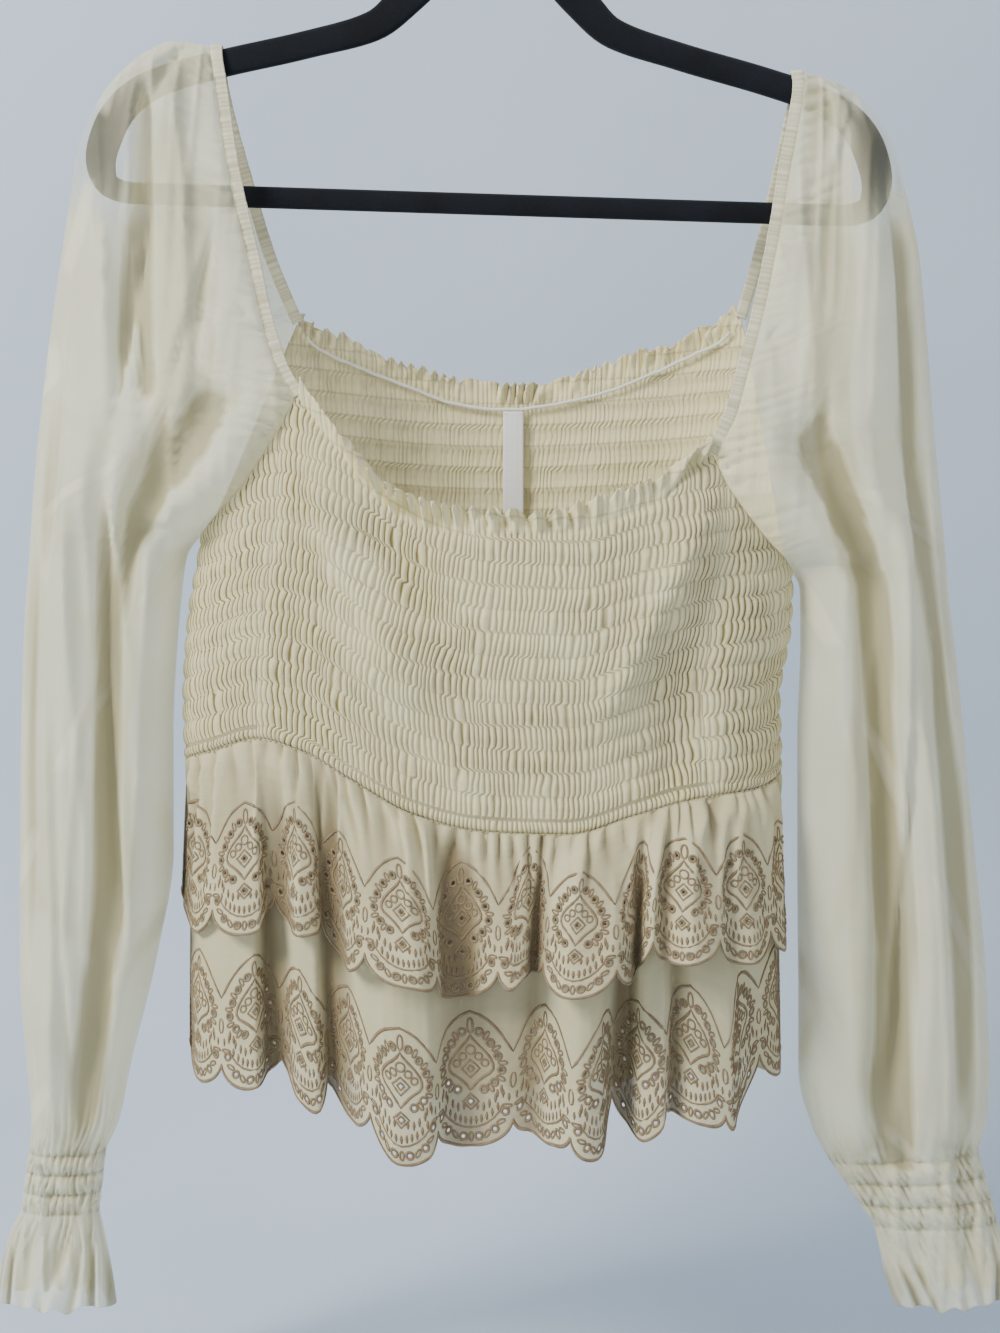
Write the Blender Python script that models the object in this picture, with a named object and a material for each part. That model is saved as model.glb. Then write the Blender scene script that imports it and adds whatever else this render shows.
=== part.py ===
"""A peasant blouse hanging on a flat flocked hanger.

The shirred bodice is a tube of a front and a back panel. Full sleeves pass over the hanger's arms
between two narrow neck bindings, and two gathered, scalloped tiers hang from the waist seam.
The origin is the inner top of the hook, where a rail holds it. X runs to the wearer's left, the
front of the blouse faces -Y, and Z is up. Sizes are in millimetres until a mesh is made.
"""

import math
from collections import namedtuple

import bmesh
import bpy
import numpy as np

MM = 0.001

# ---------------------------------------------------------------- driving sizes

SEAM_GAP = 0.5            # between two pieces that are sewn together
SEAT_GAP = 0.35           # between a piece and what carries it

HANGER_TILT = 1.8         # degrees, the left side of the picture is the higher one
HANGER_THICK = 5.0
HANGER_CHAMFER = 1.5
HANGER_STATIONS = 44
WIRE_RADIUS = 1.9
HOOK_INNER_RADIUS = 22.0
HOOK_FOOT = -59.4         # the end of the wire, just above the hub

BODICE_WALL = 2.0
PUFF = 1.3                # how far a shirred band stands out between two threads
PUCKER = 0.55             # its small up and down from column to column
CALM = 0.25               # the share of both that is left beside an armhole seam
BANDS = 13                # bands between the shirring threads
FRILL_HEIGHT = 11.0       # the edge that stands above the first thread
FRILL_WAVE = 2.6
FRILL_END = 0.6           # the frill is lower where a binding covers its end
FRONT_COLUMNS = 38
BACK_COLUMNS = 44
INNER_ROWS = 6

SLEEVE_WALL = 1.2
UNDERARM_EASE = 1.4       # the sleeve's edge stands this far out of the bodice at the underarm
SLEEVE_HALF_COLUMNS = 10
CUFF_PUFF = 1.6
FLOUNCE_WAVE = 3.2

BINDING_WIDTH = 6.5
BINDING_THICK = 2.2

TIER_WALL = 1.2
TIER_SCALLOPS = 12
SCALLOP_COLUMNS = 4
SCALLOP_DEPTH = 12.0
HANG = 0.65               # below 1, the folds open close under the seam and then hang down
GATHER = 0.9              # the small ripple just under the waist seam
LOWER_TIER_INSET = 1.7    # the lower tier is sewn on just inside the upper one

ELASTIC_HEIGHT = 1.8
ELASTIC_THICK = 1.0
ELASTIC_DROP = 3.0        # its lower edge, below the first thread
ELASTIC_SHORT = 5.0       # degrees left free beside each corner
LABEL_WIDTH = 11.5
LABEL_LENGTH = 58.0
LABEL_THICK = 1.0
LABEL_X = 7.0

# ---------------------------------------------------------------- tables

# The bodice tube: one row for each height.
Ring = namedtuple("Ring", "height centre half_width front back")
BODICE = [
    Ring(-575.0, -9.5, 160.0, 51.0, 50.0),
    Ring(-525.0, -9.5, 160.0, 50.0, 50.0),
    Ring(-493.0, -10.5, 160.0, 50.0, 50.0),
    Ring(-455.0, -6.5, 162.0, 52.0, 50.0),
    Ring(-402.0, -2.0, 159.0, 50.0, 49.0),
    Ring(-330.0, 2.0, 158.0, 48.0, 49.0),
    Ring(-260.0, 6.0, 158.0, 46.0, 46.0),
]
RING_ROUNDNESS = 2.3      # 2 is an ellipse, more is boxier

# The panel's upper edge round the tube. Angles run from the left side seam line (0) over the
# centre front (90), the right side (180) and the centre back (270).
Edge = namedtuple("Edge", "angle height")
NECK_FRONT = [
    Edge(49.5, -334.0), Edge(56.0, -351.5), Edge(62.0, -366.5), Edge(66.0, -378.5), Edge(71.0, -393.0),
    Edge(77.0, -403.0), Edge(83.0, -406.5), Edge(91.0, -407.0), Edge(99.0, -406.5), Edge(106.0, -403.0),
    Edge(113.0, -395.5), Edge(119.0, -388.5), Edge(124.0, -377.0), Edge(131.5, -364.5),
]
NECK_BACK = [
    Edge(217.5, -282.0), Edge(222.5, -292.0), Edge(232.0, -300.0), Edge(240.5, -308.0), Edge(251.0, -318.0),
    Edge(261.0, -325.0), Edge(270.0, -328.5), Edge(279.0, -324.5), Edge(286.0, -317.5), Edge(300.0, -305.0),
    Edge(311.5, -294.0), Edge(316.0, -284.0),
]
# Where the four armhole edges are divided, from the corner (0) to the underarm (1), and their
# heights there. The front panel ends at the second stop.
ARMHOLE_STOPS = (0.0, 0.08, 0.3, 0.52, 0.76, 1.0)
ARMHOLE_HEIGHTS = {
    ("left", "front"): (-334.0, -347.0, -377.0, -392.0, -400.0, -404.0),
    ("right", "front"): (-364.0, -378.0, -399.0, -412.0, -419.0, -423.0),
    ("left", "back"): (-284.0, -300.0, -342.0, -374.0, -396.0, -404.0),
    ("right", "back"): (-282.0, -298.0, -346.0, -385.0, -413.0, -423.0),
}
UNDERARM = {"left": 0.0, "right": 180.0}
WAIST = [
    Edge(0.0, -526.0), Edge(28.0, -520.0), Edge(46.0, -513.0), Edge(58.0, -520.0), Edge(68.0, -534.0),
    Edge(80.0, -552.0), Edge(92.0, -561.0), Edge(103.0, -562.0), Edge(116.0, -553.0), Edge(132.0, -544.5),
    Edge(155.0, -539.0), Edge(180.0, -531.0), Edge(225.0, -533.0), Edge(270.0, -538.0),
    Edge(315.0, -531.0), Edge(360.0, -526.0),
]

# Long soft folds in the bodice: from one end to the other, positive stands out.
FOLD_FADE = 50.0          # the length over which a fold dies away at each end
Fold = namedtuple("Fold", "angle_top height_top angle_foot height_foot width out")
BODICE_FOLDS = [
    Fold(63.0, -375.0, 77.0, -490.0, 9.0, 4.0),
    Fold(71.0, -385.0, 76.0, -445.0, 12.0, -6.0),
    Fold(128.0, -400.0, 112.0, -495.0, 9.0, 4.0),
    Fold(124.0, -440.0, 124.0, -535.0, 12.0, -6.0),
    Fold(236.0, -330.0, 246.0, -500.0, 12.0, 4.0),
    Fold(300.0, -340.0, 292.0, -510.0, 12.0, -5.0),
]

# The neck bindings' middle line below the hanger's arm, down to just above each corner.
Path = namedtuple("Path", "x y z")
LEFT_TOP_X = -153.5
LEFT_BINDING_FRONT = [
    Path(-150.5, -7.0, -162.0), Path(-144.9, -13.0, -198.1), Path(-138.9, -18.0, -227.1),
    Path(-131.5, -22.0, -257.1), Path(-124.0, -27.5, -289.8), Path(-115.2, -33.5, -317.0),
]
LEFT_BINDING_BACK = [
    Path(-151.0, 8.0, -162.0), Path(-139.5, 17.0, -208.0), Path(-127.5, 26.5, -249.0),
]
RIGHT_TOP_X = 160.0
RIGHT_BINDING_FRONT = [
    Path(158.0, -7.5, -178.0), Path(151.8, -13.0, -207.7), Path(146.9, -18.0, -235.0),
    Path(141.7, -22.0, -261.2), Path(134.7, -27.0, -291.7), Path(126.8, -32.0, -320.0),
    Path(120.5, -35.5, -342.0),
]
RIGHT_BINDING_BACK = [
    Path(157.0, 9.0, -180.0), Path(149.5, 17.0, -217.0), Path(141.5, 25.5, -252.0),
]

# The sleeve head: how far down the neck and armhole edge a line starts (0 top, 1 corner, 2 underarm),
# the outline point that it runs out to, and how far the cloth stands off, front and back.
Head = namedtuple("Head", "along outer_x outer_z depth")
NECK_STOPS = (0.0, 0.022, 0.042, 0.09, 0.18, 0.3, 0.44, 0.6, 0.78, 0.9)
SHOULDER_STOP = 0.0096    # one more division of the binding, where it bends over the hanger
LEFT_HEAD = [
    Head(0.00, -177.0, -136.9, 0.0), Head(0.022, -181.0, -137.7, 3.4), Head(0.042, -185.0, -139.4, 5.2),
    Head(0.09, -194.5, -144.8, 7.4),
    Head(0.17, -206.0, -154.2, 9.6), Head(0.29, -219.5, -172.0, 11.0), Head(0.43, -229.0, -195.0, 13.0),
    Head(0.60, -233.5, -226.0, 16.0), Head(0.78, -240.2, -270.0, 18.0), Head(1.00, -246.7, -320.0, 20.0),
    Head(1.50, -251.5, -368.0, 25.0), Head(2.00, -253.7, -402.0, 31.0),
]
RIGHT_HEAD = [
    Head(0.00, 171.0, -156.0, 0.0), Head(0.022, 175.2, -157.0, 3.4), Head(0.042, 180.5, -159.4, 5.2),
    Head(0.09, 190.5, -165.0, 7.4),
    Head(0.17, 202.5, -176.4, 9.6), Head(0.29, 213.5, -195.8, 11.0), Head(0.43, 219.0, -219.0, 13.0),
    Head(0.60, 226.0, -253.0, 16.0), Head(0.78, 230.0, -294.0, 18.0), Head(1.00, 234.0, -345.0, 20.0),
    Head(1.50, 238.0, -391.0, 25.0), Head(2.00, 240.5, -422.0, 31.0),
]

# The sleeve below the underarm: outer and inner outline points, half the depth, and the middle's y.
Arm = namedtuple("Arm", "outer_x outer_z inner_x inner_z depth middle")
LEFT_ARM = [
    Arm(-254.6, -415.0, -169.5, -414.0, 32.0, 1.0),
    Arm(-257.5, -455.0, -175.0, -455.0, 35.0, 2.0), Arm(-259.2, -512.0, -178.0, -512.0, 37.0, 3.0),
    Arm(-259.7, -575.0, -178.0, -575.0, 39.0, 3.0), Arm(-259.1, -635.0, -186.5, -632.0, 37.0, 0.0),
    Arm(-254.4, -690.0, -199.5, -688.0, 28.0, -4.0), Arm(-251.8, -718.0, -205.6, -719.0, 22.0, -6.0),
]
LEFT_CUFF = [
    Arm(-253.2, -735.0, -212.6, -735.0, 17.0, -7.0),
    Arm(-257.0, -766.5, -215.9, -766.5, 15.0, -7.0),
]
LEFT_FLOUNCE = [
    Arm(-262.5, -777.0, -213.7, -778.0, 16.0, -7.0), Arm(-268.0, -793.0, -210.5, -795.0, 19.0, -6.0),
    Arm(-271.5, -814.0, -207.5, -817.0, 22.0, -5.0),
]
RIGHT_ARM = [
    Arm(241.4, -434.0, 162.0, -434.0, 32.0, 1.0), Arm(245.2, -466.0, 162.5, -466.0, 35.0, 2.0),
    Arm(250.4, -515.0, 161.0, -515.0, 37.0, 3.0),
    Arm(255.8, -573.0, 161.0, -575.0, 39.0, 3.0), Arm(261.3, -636.0, 161.0, -638.0, 38.0, 0.0),
    Arm(262.6, -688.0, 160.5, -692.0, 33.0, -4.0), Arm(261.0, -716.0, 166.5, -720.0, 28.0, -6.0),
]
RIGHT_CUFF = [
    Arm(256.6, -735.0, 176.5, -740.0, 20.0, -7.0),
    Arm(266.4, -773.0, 200.5, -775.0, 16.0, -7.0),
]
RIGHT_FLOUNCE = [
    Arm(270.5, -783.0, 203.0, -785.0, 17.0, -7.0), Arm(273.5, -796.0, 206.5, -799.0, 20.0, -6.0),
    Arm(273.0, -812.0, 212.5, -817.0, 22.0, -5.0),
]
CUFF_ROWS = 4             # shirring threads round the wrist

# Long folds in a sleeve. `across` is 0 at the body side and 1 at the outer edge of the front half,
# and 1 to 2 goes back to the body over the back half. `down` counts the sleeve's lines.
Crease = namedtuple("Crease", "across_top down_top across_foot down_foot width out")
LEFT_CREASES = [
    Crease(0.54, 3.0, 0.60, 10.0, 0.09, -8.0), Crease(0.74, 3.0, 0.72, 19.0, 0.11, 6.0),
    Crease(0.32, 12.0, 0.32, 20.0, 0.12, -11.0), Crease(0.13, 12.0, 0.14, 18.0, 0.10, 6.0),
    Crease(0.90, 10.0, 0.88, 20.0, 0.08, -6.0), Crease(1.30, 5.0, 1.32, 20.0, 0.11, 7.0),
    Crease(1.55, 8.0, 1.52, 20.0, 0.12, -9.0), Crease(1.80, 10.0, 1.76, 20.0, 0.10, 6.0),
]
RIGHT_CREASES = [
    Crease(0.64, 4.0, 0.66, 20.0, 0.11, 7.0), Crease(0.44, 11.0, 0.44, 21.0, 0.12, -11.0),
    Crease(0.20, 11.0, 0.24, 21.0, 0.11, 6.0), Crease(0.84, 7.0, 0.84, 20.0, 0.08, -6.0),
    Crease(1.28, 5.0, 1.30, 20.0, 0.11, 7.0), Crease(1.52, 9.0, 1.50, 20.0, 0.12, -9.0),
    Crease(1.76, 10.0, 1.74, 20.0, 0.10, 6.0),
]

# The tiers' hems seen from above, a row for each ridge and hollow, left side round to right side.
Hem = namedtuple("Hem", "x y z")
UPPER_FRONT_HEM = [
    Hem(-172.5, 0.0, -608.0), Hem(-159.0, -28.0, -617.0),
    Hem(-138.0, -48.0, -615.0), Hem(-125.0, -50.0, -613.0),
    Hem(-121.0, -42.0, -608.0), Hem(-112.0, -42.0, -612.0),
    Hem(-102.8, -61.0, -614.0), Hem(-94.5, -58.0, -616.0),
    Hem(-91.5, -49.0, -621.0), Hem(-83.0, -53.0, -625.0),
    Hem(-75.0, -72.0, -632.0), Hem(-60.0, -85.0, -634.0),
    Hem(-42.0, -88.0, -637.0), Hem(-31.5, -79.0, -645.0),
    Hem(-29.5, -68.0, -646.0), Hem(-18.0, -64.0, -644.0),
    Hem(-6.0, -73.0, -643.0), Hem(3.0, -80.0, -643.0), Hem(11.5, -75.0, -633.0), Hem(15.5, -64.0, -632.0),
    Hem(22.0, -77.0, -640.0), Hem(36.8, -90.0, -641.0), Hem(56.0, -87.0, -640.0), Hem(65.0, -75.0, -637.0),
    Hem(69.0, -64.0, -631.0), Hem(75.0, -79.0, -627.0), Hem(82.0, -70.0, -626.0),
    Hem(95.0, -79.0, -626.0), Hem(110.0, -72.0, -627.0),
    Hem(118.0, -61.0, -628.0), Hem(128.0, -60.0, -628.0),
    Hem(140.0, -43.0, -627.0), Hem(150.0, -26.0, -626.0), Hem(153.8, 0.0, -626.0),
]
UPPER_BACK_HEM = [
    Hem(153.8, 0.0, -626.0), Hem(149.0, 24.0, -628.0), Hem(133.0, 42.0, -630.0), Hem(124.0, 60.0, -632.0),
    Hem(112.0, 62.0, -633.0), Hem(105.0, 52.0, -632.0), Hem(93.0, 60.0, -634.0), Hem(80.0, 80.0, -636.0),
    Hem(66.0, 78.0, -637.0), Hem(60.0, 62.0, -636.0), Hem(48.0, 66.0, -637.0), Hem(34.0, 84.0, -639.0),
    Hem(18.0, 82.0, -640.0), Hem(11.0, 64.0, -638.0), Hem(-2.0, 66.0, -638.0), Hem(-14.0, 84.0, -640.0),
    Hem(-30.0, 82.0, -638.0), Hem(-36.0, 64.0, -636.0), Hem(-48.0, 64.0, -635.0), Hem(-60.0, 80.0, -634.0),
    Hem(-76.0, 77.0, -632.0), Hem(-84.0, 60.0, -629.0), Hem(-98.0, 58.0, -626.0), Hem(-112.0, 68.0, -624.0),
    Hem(-128.0, 58.0, -620.0), Hem(-137.0, 42.0, -616.0),
    Hem(-157.0, 36.0, -612.0), Hem(-168.0, 20.0, -610.0),
    Hem(-172.5, 0.0, -608.0),
]
LOWER_FRONT_HEM = [
    Hem(-168.0, 0.0, -690.0), Hem(-160.0, -22.0, -695.0),
    Hem(-142.0, -38.0, -698.0), Hem(-127.0, -42.0, -695.0),
    Hem(-122.5, -29.0, -692.0), Hem(-112.0, -33.0, -694.0),
    Hem(-103.5, -46.0, -702.0), Hem(-94.5, -48.0, -709.0),
    Hem(-88.5, -39.0, -702.0), Hem(-80.0, -46.0, -708.0),
    Hem(-66.0, -68.0, -716.0), Hem(-50.7, -76.0, -727.0),
    Hem(-36.0, -73.0, -728.0), Hem(-26.0, -60.0, -722.0),
    Hem(-12.0, -56.0, -722.0), Hem(4.0, -58.0, -722.0),
    Hem(15.0, -58.0, -716.0), Hem(25.0, -72.0, -718.0), Hem(38.0, -82.0, -727.0), Hem(50.0, -76.0, -723.0),
    Hem(56.0, -58.0, -708.0), Hem(64.0, -52.0, -712.0), Hem(73.0, -65.0, -718.0), Hem(82.0, -66.0, -716.0),
    Hem(88.0, -55.0, -706.0), Hem(102.0, -62.0, -710.0),
    Hem(117.0, -61.0, -720.0), Hem(124.0, -48.0, -702.0),
    Hem(136.0, -38.0, -692.0), Hem(147.0, -22.0, -692.0), Hem(151.0, 0.0, -694.0),
]
LOWER_BACK_HEM = [
    Hem(151.0, 0.0, -694.0), Hem(146.0, 22.0, -698.0), Hem(130.0, 37.0, -702.0), Hem(120.0, 52.0, -706.0),
    Hem(106.0, 51.0, -708.0), Hem(98.0, 43.0, -709.0), Hem(84.0, 60.0, -712.0), Hem(70.0, 70.0, -715.0),
    Hem(58.0, 55.0, -716.0), Hem(46.0, 54.0, -718.0), Hem(32.0, 74.0, -720.0), Hem(14.0, 70.0, -720.0),
    Hem(4.0, 54.0, -718.0), Hem(-12.0, 72.0, -720.0), Hem(-30.0, 68.0, -720.0), Hem(-40.0, 52.0, -718.0),
    Hem(-56.0, 66.0, -716.0), Hem(-72.0, 66.0, -713.0), Hem(-82.0, 50.0, -710.0), Hem(-98.0, 48.0, -706.0),
    Hem(-114.0, 56.0, -704.0), Hem(-130.0, 45.0, -700.0),
    Hem(-148.0, 33.0, -696.0), Hem(-162.0, 20.0, -692.0),
    Hem(-168.0, 0.0, -690.0),
]

# The hanger's band as a middle line and a height, right half, from the hub round to the bar.
Band = namedtuple("Band", "x z height")
HANGER_HALF = [
    Band(0.0, -73.0, 26.0), Band(14.0, -80.0, 22.0), Band(31.0, -98.0, 20.0), Band(47.0, -115.0, 19.0),
    Band(64.0, -130.5, 16.5), Band(100.0, -142.0, 15.0),
    Band(150.0, -155.0, 15.0), Band(178.0, -164.0, 15.5),
    Band(195.0, -174.5, 17.0), Band(205.5, -190.0, 18.0),
    Band(210.0, -208.0, 16.5), Band(206.0, -221.0, 13.0),
    Band(192.0, -225.5, 11.6), Band(100.0, -225.5, 11.6), Band(0.0, -225.5, 11.6),
]

# ---------------------------------------------------------------- curves


def smooth(knots, values, at):
    """A smooth curve through the values that doesn't overshoot between two of them."""
    knots, values = np.asarray(knots, float), np.asarray(values, float)
    step = np.diff(knots)
    slope = np.diff(values) / step
    same_way = slope[:-1] * slope[1:] > 0
    both = np.where(same_way, slope[:-1] + slope[1:], 1.0)
    inner = np.where(same_way, 2 * slope[:-1] * slope[1:] / both, 0.0)
    tangent = np.concatenate(([slope[0]], inner, [slope[-1]]))
    at = np.clip(at, knots[0], knots[-1])
    i = np.clip(np.searchsorted(knots, at, side="right") - 1, 0, len(step) - 1)
    t = (at - knots[i]) / step[i]
    return (
        (1 + 2 * t) * (1 - t) ** 2 * values[i]
        + t * (1 - t) ** 2 * step[i] * tangent[i]
        + t * t * (3 - 2 * t) * values[i + 1]
        + t * t * (t - 1) * step[i] * tangent[i + 1]
    )


def lengths(points):
    """The distance along a run of points, up to each of them."""
    steps = np.linalg.norm(np.diff(np.asarray(points, float), axis=0), axis=1)
    return np.concatenate(([0.0], np.cumsum(steps)))


def along(points, fraction):
    """The point at a fraction of the way along a smooth line through the points."""
    points = np.asarray(points, float)
    walked = lengths(points)
    return np.array([smooth(walked, points[:, axis], fraction * walked[-1]) for axis in range(3)])


def even(points, count):
    """Points at equal distances along a smooth line through the given points."""
    fine = np.array([along(points, f) for f in np.linspace(0, 1, 12 * len(points))])
    walked = lengths(fine)
    stops = np.linspace(0, walked[-1], count)
    return np.column_stack([np.interp(stops, walked, fine[:, axis]) for axis in range(fine.shape[1])])


def bump(distance, width):
    """1 at the middle of a soft ridge, falling to 0 on both sides."""
    return math.exp(-(distance / width) ** 2)


def easing(t):
    """0 below 0, 1 above 1, and a soft step between."""
    t = min(max(t, 0.0), 1.0)
    return t * t * (3 - 2 * t)


# ---------------------------------------------------------------- the bodice tube


def power(value):
    return math.copysign(abs(value) ** (2.0 / RING_ROUNDNESS), value)


def ring(angle, height, inward=0.0):
    """A point of the bodice tube, moved towards its middle line by `inward`."""
    row = {name: float(smooth([r.height for r in BODICE], [getattr(r, name) for r in BODICE], height))
           for name in Ring._fields[1:]}
    turn = math.radians(angle)
    depth = row["front"] if math.sin(turn) > 0 else row["back"]
    across = row["half_width"] - inward
    depth -= inward
    return np.array([row["centre"] - across * power(math.cos(turn)), -depth * power(math.sin(turn)), height])


def fold_out(angle, height):
    """How far the bodice's long folds stand out here."""
    total = 0.0
    for fold in BODICE_FOLDS:
        t = (fold.height_top - height) / (fold.height_top - fold.height_foot)
        fade = easing((fold.height_top - height) / FOLD_FADE + 0.7)
        fade *= easing((height - fold.height_foot) / FOLD_FADE + 0.7)
        middle = fold.angle_top + (fold.angle_foot - fold.angle_top) * min(max(t, 0), 1)
        total += fold.out * fade * bump(angle - middle, fold.width)
    return total


def edge_height(rows, angle):
    return float(smooth([row.angle for row in rows], [row.height for row in rows], angle))


def armhole_angles(side, facing):
    """The angles of an armhole's stops, from the corner to the underarm."""
    corner = {("left", "front"): NECK_FRONT[0], ("right", "front"): NECK_FRONT[-1],
              ("left", "back"): NECK_BACK[-1], ("right", "back"): NECK_BACK[0]}[side, facing].angle
    underarm = 360.0 if (side, facing) == ("left", "back") else UNDERARM[side]
    return [corner + (underarm - corner) * stop for stop in ARMHOLE_STOPS]


def top_height(angle):
    """The bodice's upper edge at an angle: neckline or armhole."""
    angle = angle % 360.0
    for rows in (NECK_FRONT, NECK_BACK):
        if rows[0].angle <= angle <= rows[-1].angle:
            return edge_height(rows, angle)
    for (side, facing), heights in ARMHOLE_HEIGHTS.items():
        angles = armhole_angles(side, facing)
        if min(angles) <= angle <= max(angles):
            known = sorted(zip(angles, heights))
            return float(np.interp(angle, [a for a, _ in known], [h for _, h in known]))
    return ARMHOLE_HEIGHTS["left", "front"][-1]


def waist_height(angle):
    return edge_height(WAIST, angle % 360.0)


def bodice_point(angle, height, out=0.0):
    """The bodice's outer cloth, with its folds, moved out by `out`."""
    return ring(angle, height, -(fold_out(angle % 360.0, height) + out))


# ---------------------------------------------------------------- meshes


def make_object(name, bm, material):
    """A named object from a mesh in millimetres, with its faces turned outwards."""
    bmesh.ops.recalc_face_normals(bm, faces=bm.faces)
    for vert in bm.verts:
        vert.co *= MM
    mesh = bpy.data.meshes.new(name)
    bm.to_mesh(mesh)
    bm.free()
    mesh.materials.append(material)
    mesh.shade_smooth()
    mesh.set_sharp_from_angle(angle=math.radians(50))
    obj = bpy.data.objects.new(name, mesh)
    bpy.context.scene.collection.objects.link(obj)
    return obj


def thicken(obj, wall, offset):
    """Gives a sheet of cloth its wall."""
    solidify = obj.modifiers.new("wall", "SOLIDIFY")
    solidify.thickness = wall * MM
    solidify.offset = offset
    solidify.use_even_offset = False


def sheet_mesh(points, key=lambda i, j: (i, j)):
    """Quads between the rows of a grid of points. `key` names points that are one and the same."""
    bm = bmesh.new()
    verts = {}
    for j, row in enumerate(points):
        for i, point in enumerate(row):
            if key(i, j) not in verts:
                verts[key(i, j)] = bm.verts.new(point)
    for j in range(len(points) - 1):
        for i in range(len(points[0]) - 1):
            corners = [verts[key(*c)] for c in ((i, j), (i + 1, j), (i + 1, j + 1), (i, j + 1))]
            corners = list(dict.fromkeys(corners))
            if len(corners) > 2:
                bm.faces.new(corners)
    return bm


def tube_mesh(sections):
    """A bar through closed sections of equal point counts, with a face on each end."""
    bm = bmesh.new()
    loops = [[bm.verts.new(point) for point in section] for section in sections]
    for a, b in zip(loops, loops[1:]):
        for i in range(len(a)):
            j = (i + 1) % len(a)
            bm.faces.new((a[i], a[j], b[j], b[i]))
    bm.faces.new(loops[0])
    bm.faces.new(reversed(loops[-1]))
    return bm


# ---------------------------------------------------------------- bodice panels


def panel_columns(stops, count):
    """Angles from the first stop to the last, with a column on every stop."""
    angles = [stops[0]]
    for a, b in zip(stops, stops[1:]):
        steps = max(1, round(count * (b - a) / (stops[-1] - stops[0])))
        angles += list(np.linspace(a, b, steps + 1))[1:]
    return angles


def walk_round(last_column, rows, neck):
    """The panel's border as (distance, point key), with the frill's step up at each corner."""
    top, frill = 2 * BANDS, [row for row in rows if row > 2 * BANDS]
    first, last = neck
    sides = [row for row in rows if row <= top]
    border = [(i, 0) for i in range(last_column + 1)]
    border += [(last_column, row) for row in sides[1:]]
    border += [(i, top) for i in range(last_column - 1, last - 1, -1)]
    border += [(last, row) for row in frill]
    border += [(i, frill[-1]) for i in range(last - 1, first - 1, -1)]
    border += [(first, row) for row in reversed(frill[:-1])]
    border += [(i, top) for i in range(first, -1, -1)]
    border += [(0, row) for row in reversed(sides[:-1])]
    border = list(dict.fromkeys(border)) + [border[0]]
    walked, distance = [(0, border[0])], 0
    for a, b in zip(border, border[1:]):
        distance += abs(a[0] - b[0]) + abs(a[1] - b[1])
        walked.append((distance, b))
    return walked


def zip_border(bm, outer, inner, outer_border, inner_border):
    """Closes the wall's edge between the two borders, which may have different point counts."""
    i = j = 0
    while i < len(outer_border) - 1 or j < len(inner_border) - 1:
        here, there = outer[outer_border[i][1]], inner[inner_border[j][1]]
        outer_next = i < len(outer_border) - 1 and (
            j == len(inner_border) - 1 or outer_border[i + 1][0] <= inner_border[j + 1][0])
        if outer_next:
            i += 1
            bm.faces.new((here, there, outer[outer_border[i][1]]))
        else:
            j += 1
            bm.faces.new((here, there, inner[inner_border[j][1]]))


def panel_layer(bm, place, rows, last_column, neck):
    """One face of the panel's wall. Rows above the first thread exist only along the neck."""
    verts = {}
    for row in rows:
        first, last = neck if row > 2 * BANDS else (0, last_column)
        for i in range(first, last + 1):
            verts[(i, row)] = bm.verts.new(place(i, row))
    for low, high in zip(rows, rows[1:]):
        for i in range(last_column):
            corners = [(i, low), (i + 1, low), (i + 1, high), (i, high)]
            if all(corner in verts for corner in corners):
                bm.faces.new([verts[corner] for corner in corners])
    return verts


def bodice_panel(name, stops, neck_stops, count, material):
    """A shirred panel: bands that puff out between the threads, and a frill along the neck."""
    angles = panel_columns(stops, count)
    last_column = len(angles) - 1
    corners = [int(np.argmin([abs(a - stop) for a in angles])) for stop in neck_stops]
    first_stop, last_stop = corners
    neck = (first_stop + 1, last_stop - 1)
    top = 2 * BANDS

    def frill_wave(i, row):
        if row <= top or i in neck:
            return 0.0
        return FRILL_WAVE * (1 if i % 2 else -1) * (row - top) / 2

    def place(i, row, inward, relief):
        angle = angles[i]
        waist = waist_height(angle)
        head = top_height(angle)
        height = waist + (head - waist) * min(row / top, 1.0)
        out = frill_wave(i, row) - inward
        if relief and row < top:
            pucker = PUCKER * (1 if (i + row // 2) % 2 else -1)
            calm = CALM if row > top - 3 and not first_stop < i < last_stop else 1.0
            out += calm * ((PUFF + pucker) if row % 2 else -0.3 * pucker)
        if i in (0, last_column):
            out = -inward
            angle += (SEAM_GAP / 2 / 1.7) * (1 if i == 0 else -1)
        point = bodice_point(angle, height, out)
        if row > top:
            point[2] += FRILL_HEIGHT * (row - top) / 2 * (FRILL_END if i in neck else 1.0)
        return point

    bm = bmesh.new()
    outer_rows = list(range(top + 1)) + [top + 1, top + 2]
    inner_rows = [round(top * k / INNER_ROWS) for k in range(INNER_ROWS + 1)] + [top + 1, top + 2]
    outer = panel_layer(bm, lambda i, row: place(i, row, 0.0, True), outer_rows, last_column, neck)
    inner = panel_layer(bm, lambda i, row: place(i, row, BODICE_WALL, False), inner_rows, last_column, neck)
    borders = [walk_round(last_column, rows, neck) for rows in (outer_rows, inner_rows)]
    zip_border(bm, outer, inner, *borders)
    return make_object(name, bm, material)


# ---------------------------------------------------------------- hanger


def tilted(x, z):
    """A point of the hanger's own drawing, turned about the hook."""
    turn = math.radians(HANGER_TILT)
    return x * math.cos(turn) + z * math.sin(turn), -x * math.sin(turn) + z * math.cos(turn)


def hanger_line():
    """The band's middle line and height all the way round, evenly spaced."""
    left = [Band(-row.x, row.z, row.height) for row in reversed(HANGER_HALF[1:-1])]
    return even(HANGER_HALF + left + [HANGER_HALF[0]], HANGER_STATIONS + 1)[:-1]


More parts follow.
